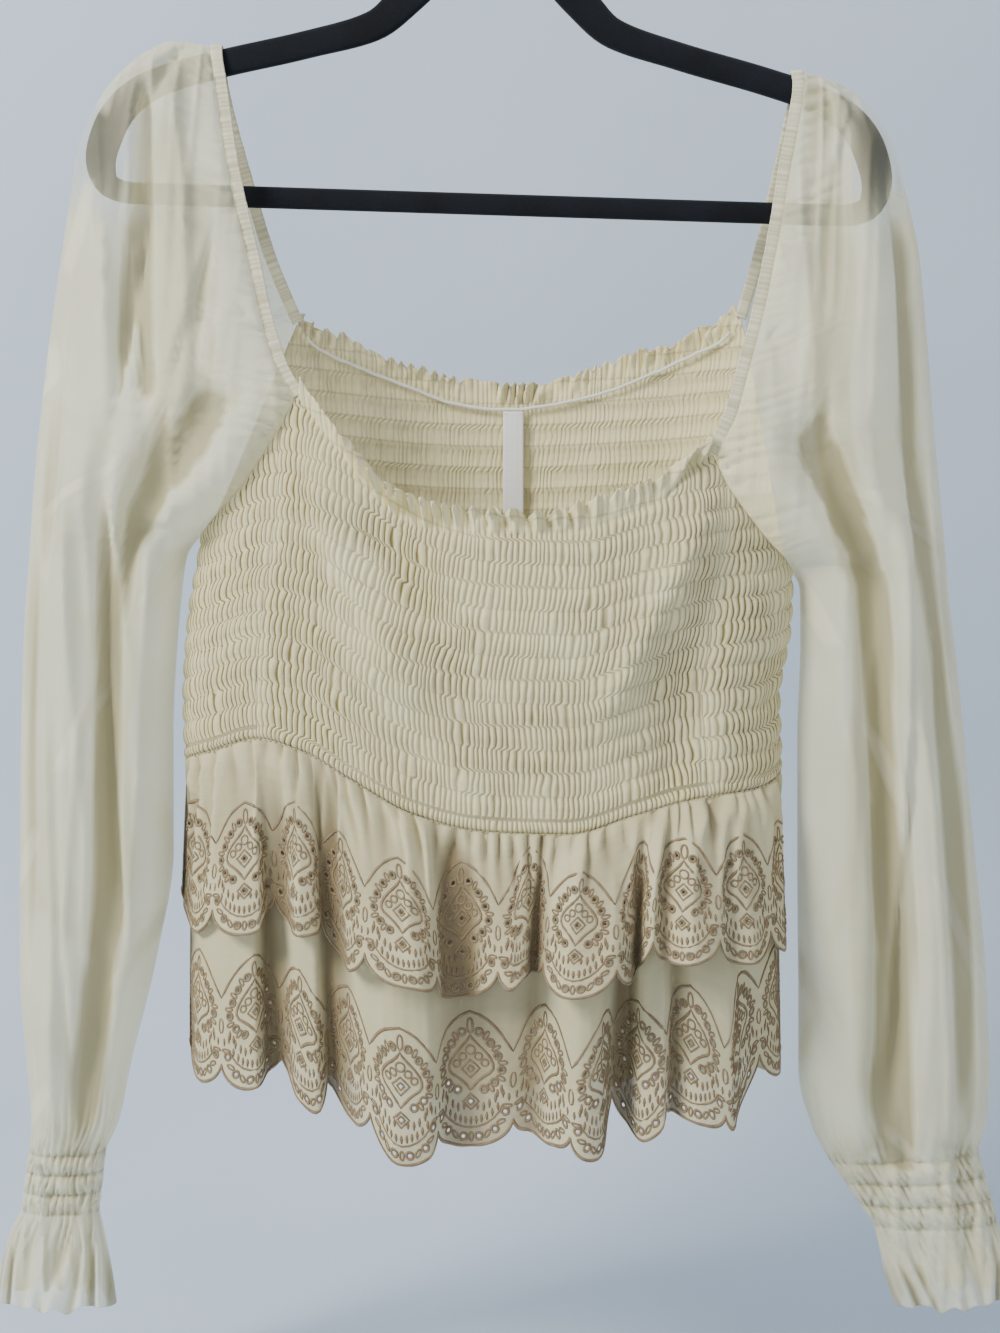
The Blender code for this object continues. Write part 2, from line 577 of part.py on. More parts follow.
def hanger_sides():
    """For each station: the middle point and the unit vector towards the outside."""
    line = hanger_line()
    ahead = np.roll(line, -1, axis=0)[:, :2] - np.roll(line, 1, axis=0)[:, :2]
    ahead /= np.linalg.norm(ahead, axis=1)[:, None]
    return line, np.column_stack([-ahead[:, 1], ahead[:, 0]])


def arm_top(x):
    """The height of the hanger's upper edge at x, where a strap rests on it."""
    line, outward = hanger_sides()
    edge = [tilted(*(row[:2] + side * row[2] / 2)) for row, side in zip(line, outward) if row[1] > -190]
    edge.sort()
    return float(np.interp(x, [p[0] for p in edge], [p[1] for p in edge]))


def hanger_frame(material):
    """The flocked band, a closed loop with softened edges."""
    half, cut = HANGER_THICK / 2, HANGER_CHAMFER
    bm = bmesh.new()
    loops = []
    for (x, z, height), (side_x, side_z) in zip(*hanger_sides()):
        reach = height / 2
        section = [(reach, half - cut), (reach - cut, half), (cut - reach, half), (-reach, half - cut),
                   (-reach, cut - half), (cut - reach, -half), (reach - cut, -half), (reach, cut - half)]
        loop = []
        for out, y in section:
            px, pz = tilted(x + side_x * out, z + side_z * out)
            loop.append(bm.verts.new((px, y, pz)))
        loops.append(loop)
    for k, loop in enumerate(loops):
        following = loops[(k + 1) % len(loops)]
        for i in range(len(loop)):
            j = (i + 1) % len(loop)
            bm.faces.new((loop[i], loop[j], following[j], following[i]))
    return make_object("hanger_frame", bm, material)


def hanger_hook(material):
    """The wire hook: a straight shank and an open round."""
    radius = HOOK_INNER_RADIUS + WIRE_RADIUS
    centre = -HOOK_INNER_RADIUS
    points = [(0.0, HOOK_FOOT), (0.0, -55.0), (1.0, -51.0)]
    for degrees in range(-62, 201, 12):
        turn = math.radians(degrees)
        points.append((radius * math.cos(turn), centre + radius * math.sin(turn)))
    curve = bpy.data.curves.new("hanger_hook", "CURVE")
    curve.dimensions = "3D"
    curve.bevel_depth = WIRE_RADIUS * MM
    curve.bevel_resolution = 2
    curve.use_fill_caps = True
    spline = curve.splines.new("POLY")
    spline.points.add(len(points) - 1)
    for point, (x, z) in zip(spline.points, points):
        px, pz = tilted(x, z)
        point.co = (px * MM, 0.0, pz * MM, 1.0)
    curve.materials.append(material)
    obj = bpy.data.objects.new("hanger_hook", curve)
    bpy.context.scene.collection.objects.link(obj)
    return obj


# ---------------------------------------------------------------- neck bindings


def corner_end(side, facing):
    """Where a binding ends: just above the bodice's corner, on the middle of its wall."""
    angle, height = armhole_angles(side, facing)[0], ARMHOLE_HEIGHTS[side, facing][0]
    return Path(*(bodice_point(angle, height, -BODICE_WALL / 2) + np.array([0.0, 0.0, BINDING_THICK])))


def binding_line(side, top_x, front, back):
    """The binding's middle line from the front corner, over the hanger's arm, to the back corner.

    Also returns where along it the shoulder's top is. The arm slopes, so the strip is carried by
    its higher side.
    """
    rise = BINDING_THICK / 2 + SEAT_GAP
    beside = HANGER_THICK / 2 + rise
    reach = BINDING_WIDTH / 2
    top = max(arm_top(top_x - reach), arm_top(top_x + reach)) + rise
    bend = [Path(top_x, beside * 0.5, top - 0.25), Path(top_x, beside * 0.92, top - 2.2),
            Path(top_x + 0.3, beside + 0.4, top - 6.0)]
    over = [Path(x, -y, z) for x, y, z in reversed(bend)] + [Path(top_x, 0.0, top)] + bend
    line = [corner_end(side, "front"), *reversed(front), *over, *back, corner_end(side, "back")]
    walked = lengths(line)
    return line, walked[len(front) + 4] / walked[-1]


def binding_frame(line, fraction):
    """A point of the binding's middle line, with its directions across the strip and out of it."""
    step = 0.004
    ahead = along(line, min(fraction + step, 1.0)) - along(line, max(fraction - step, 0.0))
    ahead /= np.linalg.norm(ahead)
    width = np.array([1.0, 0.0, 0.0]) - ahead[0] * ahead
    width /= np.linalg.norm(width)
    return along(line, fraction), width, np.cross(width, ahead)


def neck_binding(name, line, fractions, material):
    """A narrow strip with softened edges that keeps flat across the shoulder."""
    wide, thick, cut = BINDING_WIDTH / 2, BINDING_THICK / 2, BINDING_THICK / 3
    outline = [(wide, -thick + cut), (wide, thick - cut), (wide - cut, thick), (cut - wide, thick),
               (-wide, thick - cut), (-wide, cut - thick), (cut - wide, -thick), (wide - cut, -thick)]
    sections = []
    for fraction in fractions:
        point, width, up = binding_frame(line, fraction)
        sections.append([point + width * a + up * b for a, b in outline])
    return make_object(name, tube_mesh(sections), material)


# ---------------------------------------------------------------- sleeves


def neck_edge(line, fraction, side):
    """A point of the sleeve's gathered neck edge, beside the binding."""
    point, width, _ = binding_frame(line, fraction)
    return point + side * width * (BINDING_WIDTH / 2 + SEAM_GAP)


def armhole_edge(angles, fraction):
    """A point of the sleeve's lower edge, beside the bodice's, from a corner to the underarm."""
    def on_edge(place):
        angle = angles[0] + (angles[-1] - angles[0]) * place
        return bodice_point(angle, top_height(angle), UNDERARM_EASE * easing(2.0 * place - 1.0))

    angle = angles[0] + (angles[-1] - angles[0]) * fraction
    ahead = on_edge(min(fraction + 0.01, 1.0)) - on_edge(max(fraction - 0.01, 0.0))
    outward = bodice_point(angle, top_height(angle), 1.0) - bodice_point(angle, top_height(angle), 0.0)
    aside = np.cross(ahead, outward)
    aside *= math.copysign(1.0, aside[2]) / np.linalg.norm(aside)
    return on_edge(fraction) + aside * (SEAM_GAP + SLEEVE_WALL / 2)


def sleeve_lines(heads, arms, cuff, flounce, edge_point):
    """Each line across the sleeve: front edge, outer point, back edge, depth, middle and kind."""
    lines = []
    stops = NECK_STOPS + tuple(1 + stop for stop in ARMHOLE_STOPS)
    places = [head.along for head in heads]
    for stop in stops:
        x, z, depth = (float(smooth(places, [getattr(head, name) for head in heads], stop))
                       for name in ("outer_x", "outer_z", "depth"))
        outer = np.array([x, 0.0, z])
        lines.append((edge_point(stop, False), outer, edge_point(stop, True), depth, 0.0, "head"))
    threads = []
    for k in range(2 * CUFF_ROWS - 1):
        t = k / (2 * CUFF_ROWS - 2)
        threads.append(Arm(*(a + (b - a) * t for a, b in zip(*cuff))))
    for rows, kind in ((arms, "arm"), (threads, "cuff"), (flounce, "flounce")):
        for row in rows:
            inner = np.array([row.inner_x, row.middle, row.inner_z])
            outer = np.array([row.outer_x, row.middle, row.outer_z])
            lines.append((inner, outer, inner, row.depth, row.middle, kind))
    return lines


def crease_out(creases, across, down):
    total = 0.0
    for crease in creases:
        t = (down - crease.down_top) / (crease.down_foot - crease.down_top)
        fade = easing(1.0 + 3 * t) * easing(1.0 + 3 * (1 - t))
        middle = crease.across_top + (crease.across_foot - crease.across_top) * min(max(t, 0), 1)
        total += crease.out * fade * bump(across - middle, crease.width)
    return total


def sleeve(name, lines, creases, material):
    """The gathered head over the hanger, the full arm, and the shirred wrist with its flounce.

    A sleeve is one cut piece. It is three walls, end to end, so that each stays open as a tube.
    """
    half = SLEEVE_HALF_COLUMNS
    head_count = sum(line[5] == "head" for line in lines)
    cuff_start = head_count + sum(line[5] == "arm" for line in lines)
    points = []
    for j, (front, outer, back, depth, middle, kind) in enumerate(lines):
        row = []
        for i in range(2 * half + 1):
            facing = -1.0 if i <= half else 1.0
            edge = front if i <= half else back
            share = i / half if i <= half else 2 - i / half
            t = 0.4 * share + 0.3 * (1 - math.cos(math.pi * share))
            across = t if i <= half else 2 - t
            draped, closed = math.sqrt(t * (2 - t) * (1 - t ** 4)), math.sqrt(1 - (2 * t - 1) ** 2)
            under = easing((j - len(NECK_STOPS)) / (len(ARMHOLE_STOPS) - 1))
            out = depth * (draped + (closed - draped) * under)
            if j > 1 and 0 < t < 1:
                out += crease_out(creases, across, j) * min(1.0, depth / 16.0) * math.sin(math.pi * t)
            if kind == "cuff" and (j - cuff_start) % 2:
                out += CUFF_PUFF
            if kind == "flounce":
                opened = min(1.0, (j - cuff_start - 2 * CUFF_ROWS + 2) / 2.0)
                out += FLOUNCE_WAVE * (1 if i % 2 else -1) * opened
            point = edge + (outer - edge) * t
            base = edge[1] * (1 - t) if kind == "head" else middle
            point[1] = base + facing * out
            row.append(point)
        points.append(row)
    last = 2 * half
    cuts = [0, head_count, cuff_start, len(points) - 1]
    for stretch, start, end in zip(("head", "arm", "cuff"), cuts, cuts[1:]):
        rows = [list(row) for row in points[start:end + 1]]
        if start:
            rows[0] = [point - np.array([0.0, 0.0, SEAM_GAP]) for point in rows[0]]

        def key(i, j):
            if start + j == 0:
                i = min(i, last - i)
            if start + j >= head_count - 1 and i == last:
                i = 0
            return i, j

        thicken(make_object(f"{name}_{stretch}", sheet_mesh(rows, key), material), SLEEVE_WALL, 0.0)


# ---------------------------------------------------------------- peplum tiers


def scallop(k):
    """The rise of the hem's edge: 0 at the foot of a scallop, SCALLOP_DEPTH at a notch."""
    phase = (k % SCALLOP_COLUMNS) / SCALLOP_COLUMNS
    return SCALLOP_DEPTH * (1 - abs(math.sin(math.pi * phase)) ** 0.7)


def hang_angles(hem, start, end):
    """The waist angle that each hem point hangs from: its own place, with the folds smoothed away."""
    x = np.array([point[0] for point in hem])
    span = len(x) // 7
    padded = np.concatenate([2 * x[0] - x[span:0:-1], x, 2 * x[-1] - x[-2:-span - 2:-1]])
    window = np.hanning(2 * span + 1)
    calm = np.convolve(padded, window / window.sum(), mode="valid")
    share = (calm - calm[0]) / (calm[-1] - calm[0])
    turn = np.degrees(np.arccos(1 - 2 * share))
    return start + (end - start) * turn / 180.0


def tier(name, rows, hem_rows, start, end, inset, strips, material):
    """A gathered strip: a nearly plain upper edge, and folds that open down to a scalloped hem."""
    columns = TIER_SCALLOPS * SCALLOP_COLUMNS
    hem = even(hem_rows, columns + 1)
    angles = hang_angles(hem, start, end)
    points = []
    for j in range(strips + 1):
        t = j / strips
        open_out = t ** HANG
        row = []
        for k in range(columns + 1):
            ripple = GATHER * (1 if k % 2 else -1) * (1 if j == 1 else 0)
            top = bodice_point(angles[k], waist_height(angles[k]), -TIER_WALL / 2 - inset)
            top[2] -= SEAM_GAP + TIER_WALL / 3
            point = top + (hem[k] - top) * open_out
            point[2] = top[2] + (hem[k][2] + scallop(k) - top[2]) * t
            point[1] += ripple * math.copysign(1.0, point[1]) if 0 < k < columns else 0.0
            if k in (0, columns):
                point[1] += (SEAM_GAP / 2) * (-1 if rows == "front" else 1)
            row.append(point)
        points.append(row)
    obj = make_object(name, sheet_mesh(points), material)
    thicken(obj, TIER_WALL, 0.0)
    return obj


# ---------------------------------------------------------------- neck elastic and label


def back_neck_elastic(angles, material):
    """A flat elastic inside the back neckline, along the first thread."""
    near = BODICE_WALL + SEAT_GAP + 0.2
    far = near + ELASTIC_THICK
    corners = [(near, 0.0), (near, ELASTIC_HEIGHT), (far, ELASTIC_HEIGHT), (far, 0.0)]
    sections = []
    for angle in angles:
        low = top_height(angle) - ELASTIC_DROP
        sections.append([bodice_point(angle, low + up, -inward) for inward, up in corners])
    return make_object("back_neck_elastic", tube_mesh(sections), material)


def neck_label(material):
    """A bare woven label that hangs inside the back neck, under the elastic."""
    middle = 270.0
    for _ in range(8):
        middle += (LABEL_X - ring(middle, -360.0)[0]) * -0.35
    top = top_height(middle) - 3.6
    sections = []
    for k in range(9):
        height = top - LABEL_LENGTH * k / 8
        centre = bodice_point(middle, height, -(BODICE_WALL + SEAT_GAP))
        near, far = centre[1] - 0.25 - LABEL_THICK, centre[1] - 0.25
        left, right = LABEL_X - LABEL_WIDTH / 2, LABEL_X + LABEL_WIDTH / 2
        sections.append([np.array([left, near, height]), np.array([right, near, height]),
                         np.array([right, far, height]), np.array([left, far, height])])
    return make_object("neck_label", tube_mesh(sections), material)


# ---------------------------------------------------------------- materials and assembly


def finish(name, colour, roughness, metallic=0.0):
    material = bpy.data.materials.new(name)
    material.use_nodes = True
    shader = material.node_tree.nodes["Principled BSDF"]
    shader.inputs["Base Color"].default_value = (*colour, 1.0)
    shader.inputs["Roughness"].default_value = roughness
    shader.inputs["Metallic"].default_value = metallic
    material.diffuse_color = (*colour, 1.0)
    return material


def clear_scene():
    for obj in list(bpy.data.objects):
        bpy.data.objects.remove(obj, do_unlink=True)


def build():
    clear_scene()
    flock = finish("black flock", (0.006, 0.008, 0.014), 0.95)
    steel = finish("plated wire", (0.75, 0.75, 0.76), 0.22, 1.0)
    crepe = finish("shirred cream crepe", (0.72, 0.67, 0.54), 0.8)
    voile = finish("ivory dobby voile", (0.70, 0.69, 0.58), 0.75)
    eyelet = finish("embroidered eyelet cotton", (0.62, 0.55, 0.44), 0.85)
    satin = finish("white woven tape", (0.85, 0.85, 0.82), 0.6)

    hanger_frame(flock)
    hanger_hook(steel)

    neck_front = (NECK_FRONT[0].angle, NECK_FRONT[-1].angle)
    neck_back = (NECK_BACK[0].angle, NECK_BACK[-1].angle)
    stops = {place: armhole_angles(*place) for place in ARMHOLE_HEIGHTS}
    front = [stops["left", "front"][1], *neck_front, stops["right", "front"][1]]
    back = stops["right", "front"][1:] + stops["right", "back"][-2::-1] + stops["left", "back"]
    back += [360.0 + angle for angle in stops["left", "front"][-2:0:-1]]
    bodice_panel("bodice_front", front, neck_front, FRONT_COLUMNS, crepe)
    bodice_panel("bodice_back", back, neck_back, BACK_COLUMNS, crepe)
    elastic_ends = (neck_back[0] + ELASTIC_SHORT, neck_back[1] - ELASTIC_SHORT)
    columns = panel_columns(back, BACK_COLUMNS)
    back_neck_elastic([a for a in columns if elastic_ends[0] < a < elastic_ends[1]], satin)
    neck_label(satin)

    sides = [
        ("left", -1, (LEFT_TOP_X, LEFT_BINDING_FRONT, LEFT_BINDING_BACK),
         (LEFT_HEAD, LEFT_ARM, LEFT_CUFF, LEFT_FLOUNCE), LEFT_CREASES),
        ("right", 1, (RIGHT_TOP_X, RIGHT_BINDING_FRONT, RIGHT_BINDING_BACK),
         (RIGHT_HEAD, RIGHT_ARM, RIGHT_CUFF, RIGHT_FLOUNCE), RIGHT_CREASES),
    ]
    for side, sign, strap, tables, creases in sides:
        line, shoulder = binding_line(side, *strap)
        stops_down = (SHOULDER_STOP, *NECK_STOPS[1:], 1.0)
        sections = [shoulder] + [shoulder * (1 - stop) for stop in stops_down]
        sections += [shoulder + (1 - shoulder) * stop for stop in stops_down]
        neck_binding(f"neck_binding_{side}", line, sorted(sections), voile)

        def edge_point(place, at_back):
            if place <= 1.0:
                fraction = shoulder + (1 - shoulder) * place if at_back else shoulder * (1 - place)
                return neck_edge(line, fraction, sign)
            return armhole_edge(stops[side, "back" if at_back else "front"], place - 1.0)

        sleeve(f"sleeve_{side}", sleeve_lines(*tables, edge_point), creases, voile)

    tier("upper_tier_front", "front", UPPER_FRONT_HEM, 0.0, 180.0, 0.0, 4, eyelet)
    tier("upper_tier_back", "back", UPPER_BACK_HEM, 180.0, 360.0, 0.0, 4, eyelet)
    tier("lower_tier_front", "front", LOWER_FRONT_HEM, 0.0, 180.0, LOWER_TIER_INSET, 4, eyelet)
    tier("lower_tier_back", "back", LOWER_BACK_HEM, 180.0, 360.0, LOWER_TIER_INSET, 4, eyelet)


build()
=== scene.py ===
# %% [markdown]
# A peasant blouse on a flat flocked hanger.
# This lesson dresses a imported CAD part: the solids give every size and place, and each cell builds one
# piece of finer cloth, thread or metal that stands where its plain solid is. X runs to the right of
# the blouse as seen from the front, the front faces -Y, Z is up, and the origin is the inner top of the hook.

import math
from collections import namedtuple

import bpy
import numpy as np
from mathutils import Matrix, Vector, geometry


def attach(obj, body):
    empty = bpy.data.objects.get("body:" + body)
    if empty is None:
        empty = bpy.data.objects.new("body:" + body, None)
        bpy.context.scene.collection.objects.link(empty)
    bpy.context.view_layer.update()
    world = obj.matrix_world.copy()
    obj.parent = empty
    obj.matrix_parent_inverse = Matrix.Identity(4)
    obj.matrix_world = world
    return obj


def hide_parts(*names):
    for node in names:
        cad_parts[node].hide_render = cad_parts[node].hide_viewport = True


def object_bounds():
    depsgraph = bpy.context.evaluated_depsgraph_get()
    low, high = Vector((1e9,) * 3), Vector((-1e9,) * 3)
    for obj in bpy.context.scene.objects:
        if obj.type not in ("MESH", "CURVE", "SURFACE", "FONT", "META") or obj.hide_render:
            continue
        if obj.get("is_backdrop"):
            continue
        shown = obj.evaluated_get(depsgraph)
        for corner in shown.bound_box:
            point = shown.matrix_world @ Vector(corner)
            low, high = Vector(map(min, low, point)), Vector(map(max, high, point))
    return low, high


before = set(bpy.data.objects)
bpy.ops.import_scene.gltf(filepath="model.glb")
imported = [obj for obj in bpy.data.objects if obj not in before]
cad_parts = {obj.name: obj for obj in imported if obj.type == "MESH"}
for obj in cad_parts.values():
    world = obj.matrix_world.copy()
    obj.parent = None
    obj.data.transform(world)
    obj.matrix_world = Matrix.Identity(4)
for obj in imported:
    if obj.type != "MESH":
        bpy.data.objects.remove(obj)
cad_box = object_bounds()
MM = 0.001
print("solids in the part:", len(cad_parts))

# %% [markdown]
# Cloth hangs in smooth curves between a few places that can be measured. So the helpers below turn a
# short table of measured points into a curve that passes through them without overshooting, and a
# repeatable noise stands in for the small irregularities of hand-fed gathers.

# %% Curves and noise


def table(kind, *rows):
    """Rows of measured numbers, each with its names."""
    return [kind(*row) for row in rows]


def smooth(knots, values, at):
    """A smooth curve through the values that doesn't overshoot between two of them."""
    knots, values = np.asarray(knots, float), np.asarray(values, float)
    step = np.diff(knots)
    slope = np.diff(values) / step
    same_way = slope[:-1] * slope[1:] > 0
    both = np.where(same_way, slope[:-1] + slope[1:], 1.0)
    tangent = np.concatenate(([slope[0]], np.where(same_way, 2 * slope[:-1] * slope[1:] / both, 0.0), [slope[-1]]))
    at = np.clip(at, knots[0], knots[-1])
    i = np.clip(np.searchsorted(knots, at, side="right") - 1, 0, len(step) - 1)
    t = (at - knots[i]) / step[i]
    return (
        (1 + 2 * t) * (1 - t) ** 2 * values[i]
        + t * (1 - t) ** 2 * step[i] * tangent[i]
        + t * t * (3 - 2 * t) * values[i + 1]
        + t * t * (t - 1) * step[i] * tangent[i + 1]
    )


def lengths(points):
    """The distance along a run of points, up to each of them."""
    steps = np.linalg.norm(np.diff(np.asarray(points, float), axis=0), axis=-1)
    return np.concatenate(([0.0], np.cumsum(steps)))


def along(points, fraction):
    """Points at fractions of the way along a smooth line through the given ones."""
    points = np.asarray(points, float)
    walked = lengths(points)
    fraction = np.asarray(fraction, float)
    return np.stack([smooth(walked, points[:, axis], fraction * walked[-1]) for axis in range(3)], axis=-1)


def even(points, count):
    """Points at equal distances along a smooth line through the given points."""
    points = np.asarray(points, float)
    fine = along(points, np.linspace(0, 1, 12 * len(points)))
    walked = lengths(fine)
    stops = np.linspace(0, walked[-1], count)
    return np.column_stack([np.interp(stops, walked, fine[:, axis]) for axis in range(3)])


def easing(t):
    """0 below 0, 1 above 1, and a soft step between."""
    t = np.clip(t, 0.0, 1.0)
    return t * t * (3 - 2 * t)


LATTICE = np.random.default_rng(7).uniform(-1, 1, (64, 64))


def noise(x, y, shift=0):
    """Smooth repeatable noise between -1 and 1, one bump for each unit of x and y."""
    x, y = np.broadcast_arrays(np.asarray(x, float) + 17.3 * shift, np.asarray(y, float) + 5.7 * shift)
    i, j = np.floor(x).astype(int), np.floor(y).astype(int)
    u, v = x - i, y - j
    u, v = u * u * (3 - 2 * u), v * v * (3 - 2 * v)
    corner = lambda a, b: LATTICE[(i + a) % 64, (j + b) % 64]
    low = corner(0, 0) * (1 - u) + corner(1, 0) * u
    high = corner(0, 1) * (1 - u) + corner(1, 1) * u
    return low * (1 - v) + high * v


# %% [markdown]
# Every cloth piece starts as a grid of points, because woven cloth is a grid of threads. The grid keeps
# two flat coordinates for each point, in metres of real cloth, as its UV map: the weave is then drawn
# at its true size and follows the folds. Solidify turns the sheet into a thin closed wall.

# %% Turn a grid of points into a piece of cloth


def placed(name, data):
    """An object in the scene that shows the given mesh, curve, lamp or camera."""
    obj = bpy.data.objects.new(name, data)
    bpy.context.scene.collection.objects.link(obj)
    return obj


def new_mesh(name, verts, faces, material, uv=None, tones=None):
    """An object at the origin from points in millimetres, with an optional UV and a tone of painted shade for each
    point.
    """
    mesh = bpy.data.meshes.new(name)
    mesh.from_pydata((np.asarray(verts) * MM).tolist(), [], [list(map(int, f)) for f in faces])
    loops = np.zeros(len(mesh.loops), int)
    mesh.loops.foreach_get("vertex_index", loops)
    if uv is not None:
        layer = mesh.uv_layers.new(name="UVMap")
        layer.data.foreach_set("uv", (np.asarray(uv)[loops] * MM).astype(np.float32).ravel())
    if tones is not None:
        layer = mesh.attributes.new("tone", "FLOAT", "POINT")
        layer.data.foreach_set("value", np.asarray(tones, np.float32))
    mesh.materials.append(material)
    mesh.shade_smooth()
    return placed(name, mesh)


def settled(obj):
    """The plain mesh that an object's modifiers make of it."""
    bpy.context.view_layer.update()
    return bpy.data.meshes.new_from_object(obj.evaluated_get(bpy.context.evaluated_depsgraph_get()))


def thicken(obj, wall, offset=0.0):
    solidify = obj.modifiers.new("wall", "SOLIDIFY")
    solidify.thickness = wall * MM
    solidify.offset = offset
    solidify.use_even_offset = False
    mesh = settled(obj)
    obj.modifiers.clear()
    obj.data = mesh
    return obj


def cloth(name, points, uv, material, wall, offset=0.0, join=None, tones=None):
    """A wall of cloth from a grid of points. `join` numbers the points, so that some can be one."""
    rows, columns = points.shape[:2]
    number = np.arange(rows * columns).reshape(rows, columns) if join is None else join
    used, where = np.unique(number, return_inverse=True)
    where = where.reshape(rows, columns)
    first = np.zeros(len(used), int)
    first[where.ravel()[::-1]] = np.arange(rows * columns)[::-1]
    quads = np.stack([where[:-1, :-1], where[:-1, 1:], where[1:, 1:], where[1:, :-1]], axis=-1).reshape(-1, 4)
    faces = []
    for quad in quads:
        ring_of = list(dict.fromkeys(quad.tolist()))
        if len(ring_of) > 2:
            faces.append(ring_of)
    tones = None if tones is None else tones.reshape(-1)[first]
    obj = new_mesh(name, points.reshape(-1, 3)[first], faces, material, uv.reshape(-1, 2)[first], tones)
    return thicken(obj, wall, offset) if wall else obj


# %% [markdown]
# The real bodice is two panels of crinkled crepe, sewn into a tube and shirred on elastic thread. A tube
# with a few fitted rings describes it well: each ring has a half width and two depths, and an angle
# walks round it from the left side (0) over the centre front (90) to the centre back (270). The same rings
# give the solids their shape, so the finer cloth lands where the plain panel was.

# %% The bodice tube in sizes
Ring = namedtuple("Ring", "height centre half_width front back")
BODICE = table(Ring,
    (-575, -9.5, 160, 51, 50), (-525, -9.5, 160, 50, 50), (-493, -10.5, 160, 50, 50), (-455, -6.5, 162, 52, 50),
    (-402, -2, 159, 50, 49), (-330, 2, 158, 48, 49), (-260, 6, 158, 46, 46))
RING_ROUNDNESS = 2.3
Edge = namedtuple("Edge", "angle height")
NECK_FRONT = table(Edge,
    (49.5, -334), (56, -351.5), (62, -366.5), (66, -378.5), (71, -393), (77, -403), (83, -406.5), (91, -407),
    (99, -406.5), (106, -403), (113, -395.5), (119, -388.5), (124, -377), (131.5, -364.5))
NECK_BACK = table(Edge,
    (217.5, -282), (222.5, -292), (232, -300), (240.5, -308), (251, -318), (261, -325), (270, -328.5),
    (279, -324.5), (286, -317.5), (300, -305), (311.5, -294), (316, -284))
ARMHOLE_STOPS = (0.0, 0.08, 0.3, 0.52, 0.76, 1.0)
ARMHOLE_HEIGHTS = {
    ("left", "front"): (-334.0, -347.0, -377.0, -392.0, -400.0, -404.0),
    ("right", "front"): (-364.0, -378.0, -399.0, -412.0, -419.0, -423.0),
    ("left", "back"): (-284.0, -300.0, -342.0, -374.0, -396.0, -404.0),
    ("right", "back"): (-282.0, -298.0, -346.0, -385.0, -413.0, -423.0),
}
UNDERARM = {"left": 0.0, "right": 180.0}
WAIST = table(Edge,
    (0, -526), (28, -520), (46, -513), (58, -520), (68, -534), (80, -552), (92, -561), (103, -562), (116, -553),
    (132, -544.5), (155, -539), (180, -531), (225, -533), (270, -538), (315, -531), (360, -526))
FOLD_FADE = 50.0
Fold = namedtuple("Fold", "angle_top height_top angle_foot height_foot width out")
BODICE_FOLDS = table(Fold,
    (63, -375, 77, -490, 9, 4), (71, -385, 76, -445, 12, -6), (128, -400, 112, -495, 9, 4),
    (124, -440, 124, -535, 12, -6), (236, -330, 246, -500, 12, 4), (300, -340, 292, -510, 12, -5))


def ring(angle, height, out=0.0):
    """A point of the bodice tube, moved outwards by `out`."""
    heights = [row.height for row in BODICE]
    centre, across, front, back = (smooth(heights, [getattr(row, name) for row in BODICE], height)
                                   for name in Ring._fields[1:])
    turn = np.radians(angle)
    rounded = lambda value: np.sign(value) * np.abs(value) ** (2.0 / RING_ROUNDNESS)
    depth = np.where(np.sin(turn) > 0, front, back) + out
    x = centre - (across + out) * rounded(np.cos(turn))
    return np.stack(np.broadcast_arrays(x, -depth * rounded(np.sin(turn)), height), axis=-1)


def fold_out(angle, height):
    """How far the long soft folds of the bodice stand out here."""
    total = 0.0
    for fold in BODICE_FOLDS:
        t = np.clip((fold.height_top - height) / (fold.height_top - fold.height_foot), 0, 1)
        fade = easing((fold.height_top - height) / FOLD_FADE + 0.7)
        fade = fade * easing((height - fold.height_foot) / FOLD_FADE + 0.7)
        middle = fold.angle_top + (fold.angle_foot - fold.angle_top) * t
        total = total + fold.out * fade * np.exp(-((angle % 360 - middle) / fold.width) ** 2)
    return total


def bodice_point(angle, height, out=0.0):
    return ring(angle, height, fold_out(angle, height) + out)


def armhole_angles(side, facing):
    corner = {("left", "front"): NECK_FRONT[0], ("right", "front"): NECK_FRONT[-1],
              ("left", "back"): NECK_BACK[-1], ("right", "back"): NECK_BACK[0]}[side, facing].angle
    underarm = 360.0 if (side, facing) == ("left", "back") else UNDERARM[side]
    return [corner + (underarm - corner) * stop for stop in ARMHOLE_STOPS]


def top_height(angle):
    """The height of the bodice's upper edge: neckline or armhole."""
    angle = np.asarray(angle, float) % 360.0
    height = np.full(angle.shape, float(ARMHOLE_HEIGHTS["left", "front"][-1]))
    for place, heights in ARMHOLE_HEIGHTS.items():
        known = sorted(zip(armhole_angles(*place), heights))
        spot = (angle >= known[0][0]) & (angle <= known[-1][0])
        height = np.where(spot, smooth(*zip(*known), angle), height)
    for rows in (NECK_FRONT, NECK_BACK):
        spot = (angle >= rows[0].angle) & (angle <= rows[-1].angle)
        height = np.where(spot, smooth(*zip(*rows), angle), height)
    return height


def waist_height(angle):
    return smooth(*zip(*WAIST), np.asarray(angle, float) % 360.0)


print("bodice tube:", round(2 * BODICE[3].half_width), "mm wide at the chest")

# %% [markdown]
# A colour should be written the way a picker shows it, so one function turns an sRGB hex value into the
# linear numbers that the shader wants. Another adds one node with its settings and links, and a few short
# ones add what every cloth needs, each as a (node, output) pair that the next one can take. Node trees
# then read as a short list. Finishes are named for what they are.

# %% Colours and nodes
THREAD_DEPTH = 0.0002     # metres, the relief of a single thread


def srgb(code):
    parts = [int(code[i:i + 2], 16) / 255 for i in (1, 3, 5)]
    return tuple(c / 12.92 if c <= 0.04045 else ((c + 0.055) / 1.055) ** 2.4 for c in parts) + (1.0,)


